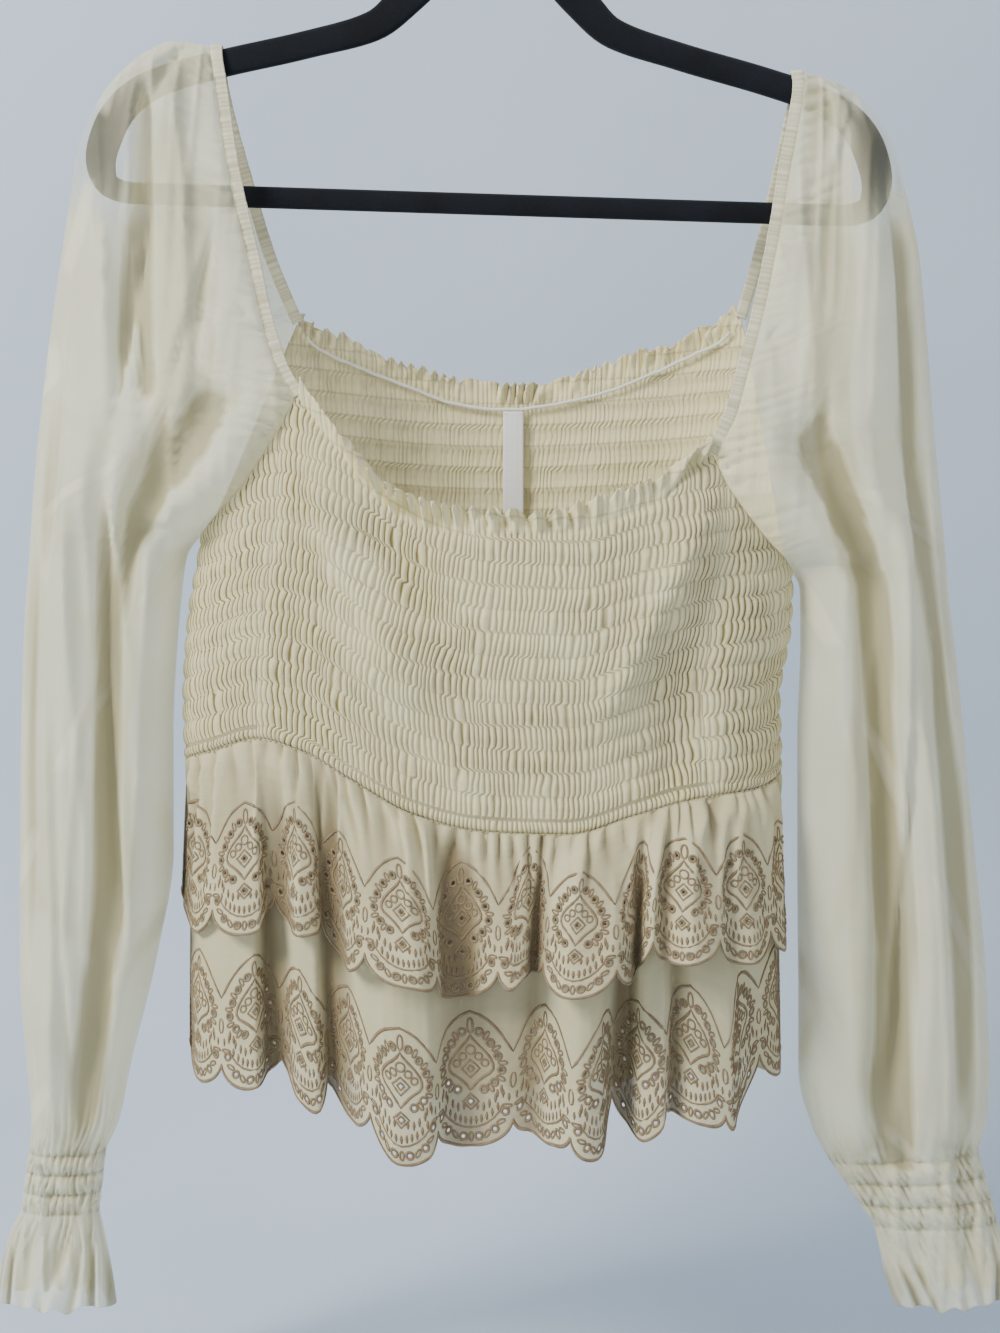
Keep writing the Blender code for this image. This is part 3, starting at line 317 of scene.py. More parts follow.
def node(tree, kind, links=None, **settings):
    """Adds a node. Settings are its properties, links are its inputs: values, or (node, output) pairs."""
    made = tree.nodes.new(kind if "Node" in kind else "GeometryNode" + kind)
    for name, value in settings.items():
        setattr(made, name, value)
    for name, value in (links or {}).items():
        socket = made.inputs[name]
        if isinstance(value, tuple) and len(value) == 2 and isinstance(value[0], bpy.types.Node):
            tree.links.new(value[0].outputs[value[1]], socket)
        else:
            socket.default_value = value
    return made


def maths(tree, operation, *terms):
    return node(tree, "ShaderNodeMath", dict(enumerate(terms)), operation=operation), "Value"


def between(tree, value, from_min, from_max, to_min=0.0, to_max=1.0):
    """A value moved from one range to another, and kept inside it."""
    return node(tree, "ShaderNodeMapRange", {"Value": value, "From Min": from_min, "From Max": from_max,
                                             "To Min": to_min, "To Max": to_max}), "Result"


def mottle(tree, place, scale, detail, roughness=0.5):
    return node(tree, "ShaderNodeTexNoise", {"Vector": place, "Scale": scale, "Detail": detail,
                                             "Roughness": roughness}), "Fac"


def stripes(tree, place, direction, scale, distortion, detail=2.0, detail_scale=1.0):
    return node(tree, "ShaderNodeTexWave", {"Vector": place, "Scale": scale, "Distortion": distortion,
                                            "Detail": detail, "Detail Scale": detail_scale},
                bands_direction=direction), "Fac"


def ramp(tree, factor, *stops):
    made = node(tree, "ShaderNodeValToRGB", {"Fac": factor})
    for element, (place, code) in zip(made.color_ramp.elements, stops):
        element.position, element.color = place, srgb(code)
    return made, "Color"


def mixed(tree, factor, below, code):
    return node(tree, "ShaderNodeMix", {"Factor": factor, "A": below, "B": srgb(code)}, data_type="RGBA"), "Result"


def bump(tree, height, strength, distance=THREAD_DEPTH, **under):
    links = {"Height": height, "Strength": strength, "Distance": distance, **under}
    return node(tree, "ShaderNodeBump", links), "Normal"


def flat_place(tree):
    """Where a point lies in the cloth's own flat cut."""
    return node(tree, "ShaderNodeUVMap", uv_map="UVMap"), "UV"


def painted_shade_tone(tree):
    """The painted shade that a piece carries at each point, as a tone: near 1 where it is smooth, near 0 deep in a
    fold.
    """
    return node(tree, "ShaderNodeAttribute", attribute_name="tone"), "Fac"


def finish(name, **principled):
    """A material with its shader's own sockets set, ready for a pattern."""
    material = bpy.data.materials.new(name)
    material.use_nodes = True
    shader = material.node_tree.nodes["Principled BSDF"]
    for socket, value in principled.items():
        shader.inputs[socket.replace("_", " ")].default_value = value
    return material, material.node_tree, shader


def connect(tree, shader, **outputs):
    for socket, (made, output) in outputs.items():
        tree.links.new(made.outputs[output], shader.inputs[socket.replace("_", " ")])


# %% [markdown]
# Woven cloth is threads going over and under. At arm's length the eye sees only a fine grain, a soft sheen
# at grazing angles and slow changes of tone where the cloth is denser or handled. Two wave textures in the
# cloth's own flat coordinates give warp and weft; a slow noise shifts the tone. Real thread spacing here is
# 0.3 to 0.5 mm, drawn at about 0.9 mm so that it still shows. Folds get painted shade from the tone of each
# point. The shirring also gets painted shade in the creases of its pleats, which are counted in the flat
# coordinates.

# %% Cloth finishes
BAND = 12.0               # between two elastic threads
SEAM_BAND = 7.0           # a narrow, denser band just above the waist seam
PLEAT = 3.0               # one upright pleat of the shirring


def pleat_shade(tree, place):
    """Painted shade in the creases and along the pinched rows of the shirring, and the crests of its pleats."""
    parts = node(tree, "ShaderNodeSeparateXYZ", {"Vector": place})
    wave = maths(tree, "SINE", maths(tree, "MULTIPLY", (parts, "X"), math.pi / (PLEAT * MM)))
    crest = maths(tree, "ABSOLUTE", wave)
    depth = maths(tree, "SUBTRACT", 1.0, painted_shade_tone(tree))
    pleated = between(tree, between(tree, crest, 0.08, 0.6, 1.25, 0.22), 0.0, 1.0, 0.0, depth)
    rows = maths(tree, "MULTIPLY_ADD", (parts, "Y"), math.pi / (BAND * MM), -math.pi * SEAM_BAND / BAND)
    from_thread = maths(tree, "ABSOLUTE", maths(tree, "SINE", rows))
    return maths(tree, "MAXIMUM", pleated, between(tree, from_thread, 0.0, 0.3, 0.38, 0.0)), crest


def woven(name, light, dark, threads, grain_strength, alpha=1.0, roughness=0.8, sheen=0.25, painted_shade_colour=None,
          shirred=False):
    """Cloth in two tones, with `threads` to the metre as its grain. A painted shade colour darkens its folds."""
    material, tree, shader = finish(name, Roughness=roughness, Sheen_Weight=sheen, Sheen_Roughness=0.45, Alpha=alpha)
    place = flat_place(tree)
    streaks = node(tree, "ShaderNodeMapping", {"Vector": place, "Scale": (40.0, 900.0, 1.0)}), "Vector"
    slubs = mottle(tree, streaks, 1.0, 3.0)
    drift = mottle(tree, place, 28.0, 4.0, 0.6)
    blend = node(tree, "ShaderNodeMix", {"Factor": 0.35, "A": drift, "B": slubs}, data_type="FLOAT"), "Result"
    tone = ramp(tree, blend, (0.3, dark), (0.68, light))
    weft, warp = (stripes(tree, place, way, threads / 20, 1.2, 2.0, 1.5) for way in "XY")
    relief = bump(tree, maths(tree, "ADD", maths(tree, "ADD", weft, warp), slubs), grain_strength)
    if shirred:
        shade, crest = pleat_shade(tree, place)
        relief = bump(tree, crest, 0.55, 0.0011, Normal=relief)
    elif painted_shade_colour:
        shade = between(tree, painted_shade_tone(tree), 0.25, 0.9, 0.85, 0.0)
    connect(tree, shader, Base_Color=mixed(tree, shade, tone, painted_shade_colour) if painted_shade_colour else tone, Normal=relief)
    return material


def embroidery_thread(name, light, dark):
    """Satin stitch: threads laid side by side across each rib, with the soft gloss of mercerised cotton."""
    material, tree, shader = finish(name, Roughness=0.55, Sheen_Weight=0.3, Sheen_Roughness=0.35)
    place = flat_place(tree)
    tone = ramp(tree, mottle(tree, place, 160.0, 3.0), (0.3, dark), (0.7, light))
    connect(tree, shader, Base_Color=tone, Normal=bump(tree, stripes(tree, place, "X", 90.0, 1.5), 0.4))
    return material


# The last colour of each cloth below is painted shade for its folds and creases.
crepe = woven("cream cotton crepe, shirred", "#F5ECBF", "#EADEA9", 1100.0, 0.5, painted_shade_colour="#7C6B35", shirred=True)
eyelet_cotton = woven("slub cotton of the tiers", "#EAE1B9", "#DACFA3", 1000.0, 0.5, 0.74, painted_shade_colour="#75603A")
tape = woven("white woven tape", "#F4F3EE", "#E9E8E2", 1600.0, 0.4, sheen=0.1)
satin_thread = embroidery_thread("taupe satin-stitch thread", "#9C8562", "#7A6444")
sewing_thread = embroidery_thread("cream polyester sewing thread", "#EFE9D6", "#DDD5BC")
# Its darker colour is partly the thread and partly painted shadow round the stitches in the seam.
waist_thread_with_painted_shadow = embroidery_thread("cream thread in the waist seam, darkened as painted shadow", "#CFC4A2", "#B5A87F")
satin_label = woven("white woven satin label", "#F7F7F4", "#ECECE8", 2200.0, 0.25, roughness=0.45, sheen=0.1)
print("cloth finishes:", crepe.name, "/", eyelet_cotton.name)

# %% [markdown]
# Shirring is rows of elastic thread, 12 mm apart, that pull the cloth in to half its width. Between two
# threads a band puffs out, and across it run little upright pleats about 3 mm apart that wander from
# band to band. It could be a bump map, but the relief is over a millimetre and shows on the silhouette,
# so each panel is a fine grid whose rows follow the waist seam, moved out by one height function.

# %% Shirring as a height function
PUFF = 1.5                # how far a band stands out
PLEAT_HEIGHT = 1.1
SEAM_PLEAT = 2.4          # one upright pleat in the narrow band
FRILL_HEIGHT = 12.5
BODICE_CLOTH = 0.5
PROBE_HEIGHT = -480.0     # where the way round the bodice is measured


def shirring(s, up, down, spare):
    """Relief at `s` mm along and `up` mm above the waist, a tone of painted shade (1 smooth, 0 deep) and the pleats
    counted so far.

    `down` is the distance to the upper edge and `spare` the distance to the nearer side seam.
    """
    band = np.where(up < SEAM_BAND, up / SEAM_BAND, 1 + (up - SEAM_BAND) / BAND)
    arch = np.abs(np.sin(np.pi * band)) ** 0.6
    row = np.floor(band)
    wander = 0.4 * noise(s / 16.0, band * 0.6, 3) + 0.7 * noise(s / 9.0, row * 3.7, 5)
    wander = wander + 0.16 * noise(s / 3.0, band * 2.0, 9)
    phase = s / np.where(row < 1, SEAM_PLEAT, PLEAT) + wander + 0.5 * (row % 2) + 0.21 * row
    pleat = np.abs(np.sin(np.pi * phase)) ** 0.8
    uneven = 0.8 + 0.45 * noise(s / 7.0, band * 1.7, 11)
    edge = 1 - np.exp(-(np.maximum(down, 0) / 1.8) ** 2)
    calm = 0.25 + 0.75 * easing(spare / 9.0)
    height = PUFF * arch * edge * (0.4 + 0.6 * calm)
    height = height + PLEAT_HEIGHT * (pleat - 0.5) * uneven * calm * edge * (0.45 + 0.55 * arch)
    # Painted shade: deeper in the pinched rows and away from the side seams, where the cloth lies smooth.
    depth = calm * (0.62 + 0.35 * noise(s / 18.0, band * 0.9, 13)) * (0.8 + 0.2 * arch) + 0.15 * (1 - arch)
    return height, 1 - np.clip(depth, 0.05, 1), phase


# Soft folds that slant over the front: their line from the upper end, how far they stand out and their width.
Slant = namedtuple("Slant", "line out width")
SLANTS = [
    Slant([(-98, -366), (-84, -418), (-66, -450), (-44, -486)], 3.2, 8),
    Slant([(-76, -366), (-60, -412), (-40, -446), (-18, -482)], -3.2, 11),
    Slant([(104, -392), (86, -436), (70, -466), (54, -500)], 3.2, 8),
    Slant([(118, -420), (104, -470), (94, -516), (86, -556)], -3.6, 12),
    Slant([(-112, -430), (-104, -480), (-96, -530), (-90, -560)], -2.2, 10),
]


def faded_ends(line, z, over, start):
    """1 between the ends of a line that goes up, and a soft fall to 0 at both."""
    return easing((z - line[0, 1]) / over + start) * easing((line[-1, 1] - z) / over + start)


def slants_out(x, z):
    total = np.zeros_like(x)
    for slant in SLANTS:
        line = np.array(slant.line[::-1], float)
        aside = (x - np.interp(z, line[:, 1], line[:, 0])) / slant.width
        total += slant.out * faded_ends(line, z, 40, 0.5) * np.exp(-aside ** 2)
    return total


def frill_shape(s, rise):
    """The neck frill's height factor and lean: small crushed waves, wider at the free edge."""
    turn = 2 * np.pi * (s / 9.0 + 1.7 * noise(s / 21.0, 0.5, 21)) + 1.8 * rise
    wave = np.sin(turn + 0.9 * np.sin(turn))
    second = noise(s / 3.8, rise * 2.2, 23)
    size = 0.8 + 0.6 * noise(s / 26.0, 0.2, 27)
    lean = rise ** 0.8 * size * (5.4 * wave + 3.4 * second) + 1.5 * rise
    tall = 1 + rise * (0.42 * (np.abs(np.sin(turn / 2 + 0.4)) ** 0.6 - 0.7) + 0.3 * noise(s / 23.0, 4.5, 29))
    return tall, lean


def bodice_panel(name, start, stop, neck, column, rows_in_band, facing):
    """One shirred panel with its frill, as a thin closed wall. `facing` is 1 in front and -1 behind."""
    probe = np.linspace(start, stop, 500)
    around = lengths(bodice_point(probe, np.full(500, PROBE_HEIGHT)))
    s = np.linspace(0.06, around[-1] - 0.06, int(around[-1] / column) + 1)
    angle = np.interp(s, around, probe)
    foot, head = waist_height(angle), top_height(angle)
    step = BAND / rows_in_band
    count = int((head - foot).max() / step) + 2
    index = np.arange(count)[:, None]
    last = np.ceil((head - foot) / step - 0.35).astype(int)
    height = np.where(index >= last, head, foot + index * step)
    spare = np.minimum(s - s[0], s[-1] - s)
    relief, tone, phase = shirring(s + 0 * height, height - foot, head - height, spare + 0 * height)
    x, y, z = np.moveaxis(np.stack([bodice_point(angle, row) for row in height]), -1, 0)
    slant = slants_out(x, z) * (y < 0) * easing((head - height) / 12) * easing((height - foot) / 12)
    # The tone is painted shade: lighter on the ridges of the slanting folds and darker in their hollows, darker at the
    # sides (most on the left) where they turn from the key light, and lighter on the back's inside, which is shaded
    # less.
    near = easing(0.5 - y / 20)
    sides = 0.5 * easing((-x - 70) / 45) + 0.2 * easing((x - 70) / 40)
    tone = np.clip(1 - (1 - tone) * (0.2 + 0.8 * near) + 0.1 * np.minimum(slant, 1.5) - sides * near, 0, 1)
    points = [bodice_point(angle, row, out - 0.4) for row, out in zip(height, relief + slant)]
    column_number = np.arange(len(s)) * 1e5
    join = np.minimum(index, last) * 1.0 + column_number
    uv = [np.column_stack([PLEAT * count_so_far, row - foot]) for count_so_far, row in zip(phase, height)]
    outward = bodice_point(angle, head, 1.0) - bodice_point(angle, head, 0.0)
    low, high = np.interp(neck, angle, s)
    reach = easing((s - low - 0.6) / 3.5) * easing((high - 0.6 - s) / 3.5)
    for k, rise in enumerate((0.1, 0.22, 0.36, 0.5, 0.64, 0.78, 0.9, 1.0)):
        tall, lean = frill_shape(s, rise)
        points.append(points[count - 1] + outward * (lean * reach)[:, None]
                      + np.array([0, 0, 1.0]) * (FRILL_HEIGHT * rise * tall * reach)[:, None])
        join = np.vstack([join, np.where(reach > 0, count + k, last) + column_number])
        uv.append(np.column_stack([PLEAT * phase[-1], head - foot + FRILL_HEIGHT * rise]))
        # Painted shade in the frill: waves that lean away from the front are darker, and so is its foot.
        tone = np.vstack([tone, np.clip(0.8 + 0.07 * np.clip(lean * facing, -6, 2) - 0.3 * (rise < 0.2), 0, 1)])
    return cloth(name, np.array(points), np.array(uv), crepe, BODICE_CLOTH, -1.0, join, tone)


front_start, front_stop = (armhole_angles(side, "front")[1] for side in ("left", "right"))
front_neck, back_neck = ((rows[0].angle, rows[-1].angle) for rows in (NECK_FRONT, NECK_BACK))
bodice_front = bodice_panel("front_panel", front_start, front_stop, front_neck, 0.75, 6, 1)
bodice_back = bodice_panel("back_panel", front_stop, 360 + front_start, back_neck, 1.0, 5, -1)
for panel in (bodice_front, bodice_back):
    print(panel.name, len(panel.data.polygons), "faces")

# %% [markdown]
# The sleeves are a sheer dobby voile: a thin, open weave, with short raised dashes woven in slanting
# rows. Sheer cloth is made see-through by its alpha, because light passes between the threads and
# isn't bent. The wall has two faces, and each lets about two thirds of the light through, or more where a
# single layer is stretched over the hanger's end and less where the cloth is folded.

# %% Sheer dobby voile
DOBBY_SLANT = 24.0        # degrees
DOBBY_ROWS = 0.013        # metres from one slanting row to the next
DOBBY_DASHES = 0.017      # metres from one dash to the next


def dobby_voile(name, light, dark, fold, alpha, single_alpha, folded_alpha):
    material, tree, shader = finish(name, Roughness=0.72, Sheen_Weight=0.3, Sheen_Roughness=0.4)
    place, own = flat_place(tree), painted_shade_tone(tree)
    tone = ramp(tree, mottle(tree, place, 22.0, 4.0), (0.3, dark), (0.7, light))
    # The fold colour stands partly for cloth lying in layers and partly for painted shade in the folds.
    layered_and_shaded = mixed(tree, between(tree, own, 0.5, 0.0, 0.0, 0.75), tone, fold)
    slant = node(tree, "ShaderNodeMapping", {"Vector": place, "Rotation": (0, 0, math.radians(DOBBY_SLANT))}), "Vector"
    row = stripes(tree, slant, "X", 1 / (20 * DOBBY_ROWS), 0.3, 1.0)
    dash = stripes(tree, slant, "Y", 1 / (20 * DOBBY_DASHES), 6.0, 1.0, 2.0)
    raised = maths(tree, "MULTIPLY", between(tree, row, 0.965, 0.995), between(tree, dash, 0.35, 0.6))
    dense = maths(tree, "MULTIPLY", raised, 0.2)
    layers = maths(tree, "ADD", between(tree, own, 0.8, 1.0, alpha, single_alpha),
                   between(tree, own, 0.62, 0.1, 0.0, folded_alpha))
    heap = maths(tree, "ADD", raised, mottle(tree, place, 700.0, 2.0))
    connect(tree, shader, Base_Color=mixed(tree, dense, layered_and_shaded, "#F6F3E6"), Normal=bump(tree, heap, 0.35),
            Alpha=maths(tree, "ADD", dense, layers))
    return material


voile = dobby_voile("ivory dobby voile, sheer", "#FFFDDC", "#F8F1CC", "#A1945F", 0.34, 0.09, 0.3)
# Its last colour is painted shade, laid between the binding's puckers.
bias_binding = woven("ivory voile, folded binding", "#EEE9CF", "#DDD6B4", 1300.0, 0.5, painted_shade_colour="#978A60")

# %% [markdown]
# The hanger is one flat moulding with a band that changes height along it, so a middle line with a height
# at each station is enough. Its arms also decide where the bindings and the sleeves lie, so its sizes
# come before theirs.

# %% The hanger's line
HANGER_TILT = 1.8         # degrees
HANGER_THICK = 5.0
HOOK_RADIUS = 22.0
WIRE = 1.9
HOOK_FOOT = -59.4
ARM_FOOT = -190.0         # the arms' upper edge is looked for above this height
Band = namedtuple("Band", "x z height")
HANGER_HALF = table(Band,
    (0, -73, 26), (14, -80, 22), (31, -98, 20), (47, -115, 19), (64, -130.5, 16.5), (100, -142, 15),
    (150, -155, 15), (178, -164, 15.5), (195, -174.5, 17), (205.5, -190, 18), (210, -208, 16.5), (206, -221, 13),
    (192, -225.5, 11.6), (100, -225.5, 11.6), (0, -225.5, 11.6))


def tilted(x, z):
    turn = math.radians(HANGER_TILT)
    return x * math.cos(turn) + z * math.sin(turn), -x * math.sin(turn) + z * math.cos(turn)


def hanger_sides(count):
    """Middle points and heights round the band, and the unit vectors towards its outside."""
    left = [Band(-row.x, row.z, row.height) for row in reversed(HANGER_HALF[1:-1])]
    line = even(HANGER_HALF + left + [HANGER_HALF[0]], count + 1)[:-1]
    ahead = np.roll(line, -1, axis=0)[:, :2] - np.roll(line, 1, axis=0)[:, :2]
    ahead /= np.linalg.norm(ahead, axis=1)[:, None]
    return line, np.column_stack([-ahead[:, 1], ahead[:, 0]])


def arm_top(x):
    line, outward = hanger_sides(44)
    edge = sorted(tilted(*(row[:2] + side * row[2] / 2)) for row, side in zip(line, outward) if row[1] > ARM_FOOT)
    return float(np.interp(x, *zip(*edge)))


# %% [markdown]
# Each neck binding is a strip of voile folded over the sleeve's raw edge. Its line runs from the front
# corner of the bodice, over the hanger's arm, to the back corner. A section swept along the line makes
# it; the short cross puckers come from the gathers that it holds.

# %% The bindings' lines
TUCK = -0.5               # a sewn edge lies a little under its neighbour
BINDING_WIDTH = 6.5
BINDING_THICK = 2.2
BINDING_CLEAR = 0.35      # between the binding and the hanger
# The stitches' distance from the middle line, on the sleeve's side. A pressed groove runs as far on the other.
BINDING_SEAM = 1.9
Strap = namedtuple("Strap", "top_x front back outward")
STRAPS = {
    "left": Strap(-153.5, [
        (-150.5, -7, -162), (-144.9, -13, -198.1), (-138.9, -18, -227.1), (-131.5, -22, -257.1),
        (-124, -27.5, -289.8), (-115.2, -33.5, -317)],
        [(-151, 8, -162), (-139.5, 17, -208), (-127.5, 26.5, -249)], -1),
    "right": Strap(160.0, [
        (158, -7.5, -178), (151.8, -13, -207.7), (146.9, -18, -235), (141.7, -22, -261.2), (134.7, -27, -291.7),
        (126.8, -32, -320), (120.5, -35.5, -342)],
        [(157, 9, -180), (149.5, 17, -217), (141.5, 25.5, -252)], 1),
}


def corner_end(side, facing):
    angle, height = armhole_angles(side, facing)[0], ARMHOLE_HEIGHTS[side, facing][0]
    return bodice_point(angle, height, -1.0) + np.array([0.0, 0.0, 0.2])


def binding_line(side):
    """The binding's middle line from the front corner to the back one, and where the shoulder's top is."""
    top_x, front, back, _ = STRAPS[side]
    rise = BINDING_THICK / 2 + BINDING_CLEAR
    beside, reach = HANGER_THICK / 2 + rise, BINDING_WIDTH / 2
    top = max(arm_top(top_x - reach), arm_top(top_x + reach)) + rise
    bend = [(top_x, beside * 0.5, top - 0.25), (top_x, beside * 0.92, top - 2.2),
            (top_x + 0.3, beside + 0.4, top - 6.0)]
    over = [(x, -y, z) for x, y, z in reversed(bend)] + [(top_x, 0.0, top)] + bend
    line = np.array([corner_end(side, "front"), *reversed(front), *over, *back, corner_end(side, "back")])
    walked = lengths(line)
    return line, walked[1 + len(front) + len(bend)] / walked[-1]


def binding_frame(line, fraction):
    """Points of the middle line with the directions across the strip and out of it."""
    ahead = along(line, np.minimum(fraction + 0.004, 1)) - along(line, np.maximum(fraction - 0.004, 0))
    ahead /= np.linalg.norm(ahead, axis=-1, keepdims=True)
    width = np.array([1.0, 0.0, 0.0]) - ahead[..., :1] * ahead
    width /= np.linalg.norm(width, axis=-1, keepdims=True)
    return along(line, fraction), width, np.cross(width, ahead)


def signed_power(value, power):
    """A value between -1 and 1 raised to a power with its sign kept: it makes a round section squarer."""
    return np.sign(value) * np.abs(value) ** power


def tube(name, rings, material, closed=False, uv=None, tones=None):
    """A skin over a run of rings of points: joined end to end, or with a cap at both ends."""
    index = np.arange(rings.shape[0] * rings.shape[1]).reshape(rings.shape[:2])
    here, ahead = (index, np.roll(index, -1, axis=0)) if closed else (index[:-1], index[1:])
    quads = np.stack([here, np.roll(here, -1, axis=1), np.roll(ahead, -1, axis=1), ahead], axis=-1)
    caps = [] if closed else [index[0, ::-1].tolist(), index[-1].tolist()]
    return new_mesh(name, rings.reshape(-1, 3), quads.reshape(-1, 4).tolist() + caps, material, uv, tones)


def binding_length(line):
    return lengths(along(line, np.linspace(0, 1, 400)))[-1]


def neck_binding(side, line):
    total = binding_length(line)
    walk = np.linspace(0, total, int(total / 0.7))
    point, width, up = binding_frame(line, walk / total)
    turn = np.linspace(0, 2 * np.pi, 24, endpoint=False)
    pucker = 1 + 0.13 * np.sin(2 * np.pi * (walk / 2.9 + 1.2 * noise(walk / 7.0, 0.3, 31)))
    pucker = pucker + 0.1 * noise(walk / 2.2, 0.6, 35)
    crown, rise = signed_power(np.cos(turn), 0.55), signed_power(np.sin(turn), 0.7)
    from_groove = crown * BINDING_WIDTH / 2 + BINDING_SEAM * STRAPS[side].outward
    pressed = 1 - 0.4 * np.exp(-(from_groove / 0.5) ** 2) * (rise > 0)
    uneven = (1 + 0.03 * noise(walk / 2.4, 0, 33))[:, None]
    rings = (point[:, None] + width[:, None] * (BINDING_WIDTH / 2 * crown * uneven)[..., None]
             + up[:, None] * (BINDING_THICK / 2 * rise * pressed * pucker[:, None])[..., None])
    # Painted shade: darker between the puckers.
    tones = np.repeat(np.clip(0.72 + 1.1 * (pucker - 1), 0, 1), len(turn))
    return tube(f"binding_{side}", rings, bias_binding, tones=tones)


straps = {side: binding_line(side) for side in STRAPS}
bindings = [neck_binding(side, line) for side, (line, _) in straps.items()]
print("bindings:", [round(binding_length(line)) for line, _ in straps.values()], "mm long")

# %% [markdown]
# A full sleeve is a tube: at each level it has an outer and an inner outline point and a depth between
# them. Level by level the table below gives the hanging shape, from the gathered head over the hanger,
# past the underarm, to the shirred wrist and its flounce. Long folds are lines down the sleeve: each stands
# out along one side and falls off sharply on the other, as a pleat does.

# %% The sleeves' outline and folds
Head = namedtuple("Head", "along outer_x outer_z depth")
NECK_STOPS = (0.0, 0.022, 0.042, 0.09, 0.18, 0.3, 0.44, 0.6, 0.78, 0.9)
LEFT_HEAD = table(Head,
    (0, -177, -136.9, 0), (0.022, -181, -137.7, 3.4), (0.042, -185, -139.4, 5.2), (0.09, -194.5, -144.8, 7.4),
    (0.17, -206, -154.2, 9.6), (0.29, -219.5, -172, 11), (0.43, -229, -195, 13), (0.6, -233.5, -226, 16),
    (0.78, -240.2, -270, 18), (1, -246.7, -320, 20), (1.5, -251.5, -368, 25), (2, -253.7, -402, 31))
RIGHT_HEAD = table(Head,
    (0, 171, -156, 0), (0.022, 175.2, -157, 3.4), (0.042, 180.5, -159.4, 5.2), (0.09, 190.5, -165, 7.4),
    (0.17, 202.5, -176.4, 9.6), (0.29, 213.5, -195.8, 11), (0.43, 219, -219, 13), (0.6, 226, -253, 16),
    (0.78, 230, -294, 18), (1, 234, -345, 20), (1.5, 238, -391, 25), (2, 240.5, -422, 31))
Arm = namedtuple("Arm", "outer_x outer_z inner_x inner_z depth middle")
LEFT_ARM = table(Arm,
    (-254.6, -415, -169.5, -414, 32, 1), (-257.5, -455, -175, -455, 35, 2), (-259.2, -512, -178, -512, 37, 3),
    (-259.7, -575, -178, -575, 39, 3), (-259.1, -635, -186.5, -632, 37, 0), (-254.4, -690, -199.5, -688, 28, -4),
    (-251.8, -718, -205.6, -719, 22, -6))
LEFT_CUFF = table(Arm, (-253.2, -735, -212.6, -735, 17, -7), (-257, -766.5, -215.9, -766.5, 15, -7))
LEFT_FLOUNCE = table(Arm,
    (-262.5, -777, -213.7, -778, 16, -7), (-268, -793, -210.5, -795, 19, -6), (-271.5, -814, -207.5, -817, 22, -5))
RIGHT_ARM = table(Arm,
    (241.4, -434, 162, -434, 32, 1), (245.2, -466, 162.5, -466, 35, 2), (250.4, -515, 161, -515, 37, 3),
    (255.8, -573, 161, -575, 39, 3), (261.3, -636, 161, -638, 38, 0), (262.6, -688, 160.5, -692, 33, -4),
    (261, -716, 166.5, -720, 28, -6))
RIGHT_CUFF = table(Arm, (256.6, -735, 176.5, -740, 20, -7), (266.4, -773, 200.5, -775, 16, -7))
RIGHT_FLOUNCE = table(Arm,
    (270.5, -783, 203, -785, 17, -7), (273.5, -796, 206.5, -799, 20, -6), (273, -812, 212.5, -817, 22, -5))
CUFF_ROWS = 4
Crease = namedtuple("Crease", "across_top down_top across_foot down_foot width out")
LEFT_CREASES = table(Crease,
    (0.54, 3, 0.6, 10, 0.09, -8), (0.74, 3, 0.72, 19, 0.11, 6), (0.32, 12, 0.32, 20, 0.12, -11),
    (0.13, 12, 0.14, 18, 0.1, 6), (0.9, 10, 0.88, 20, 0.08, -6), (1.3, 5, 1.32, 20, 0.11, 7),
    (1.55, 8, 1.52, 20, 0.12, -9), (1.8, 10, 1.76, 20, 0.1, 6))
RIGHT_CREASES = table(Crease,
    (0.64, 4, 0.66, 20, 0.11, 7), (0.44, 11, 0.44, 21, 0.12, -11), (0.2, 11, 0.24, 21, 0.11, 6),
    (0.84, 7, 0.84, 20, 0.08, -6), (1.28, 5, 1.3, 20, 0.11, 7), (1.52, 9, 1.5, 20, 0.12, -9),
    (1.76, 10, 1.74, 20, 0.1, 6))
# Where one layer alone is stretched over the hanger's end: its middle and half width.
SINGLE_LAYER = {"left": (-220.0, -188.0, 28.0), "right": (205.0, -188.0, 20.0)}
SINGLE_HALF_HEIGHT = 48.0
# A pleat on the front: its line from top to foot, how far it stands out, the width that it falls off over
# towards -X and towards +X, and the hollow beside its sharp side.
Pleat = namedtuple("Pleat", "line out left right hollow")
LEFT_PLEATS = table(Pleat,
    ([(-188, -152), (-187, -185), (-186, -228), (-190, -270), (-199, -330), (-205, -400), (-207, -470),
      (-203, -540), (-198, -610)], 5.5, 1.6, 26, 3.5),
    ([(-232, -300), (-231, -420), (-230, -560), (-226, -680)], 4.5, 7, 9, 1),
    ([(-152, -240), (-160, -275), (-171, -315), (-180, -352)], 3, 7, 1.8, 2.5),
    ([(-163, -428), (-172, -470), (-181, -512), (-193, -538)], 3.2, 2.5, 3, 1.5))
RIGHT_PLEATS = table(Pleat,
    ([(206, -200), (213, -330), (216, -430), (212, -560), (203, -690)], 5, 14, 2, 4),
    ([(190, -160), (186, -180), (178, -205), (172, -240)], 2, 5, 3, 1),
    ([(240, -420), (246, -520), (250, -620), (252, -690)], 3.5, 6, 8, 0.5))
PLEAT_EDGE = 0.9          # how sharply a pleat steps down
PLEAT_HOLLOW = 6.0        # how wide the hollow beside it is


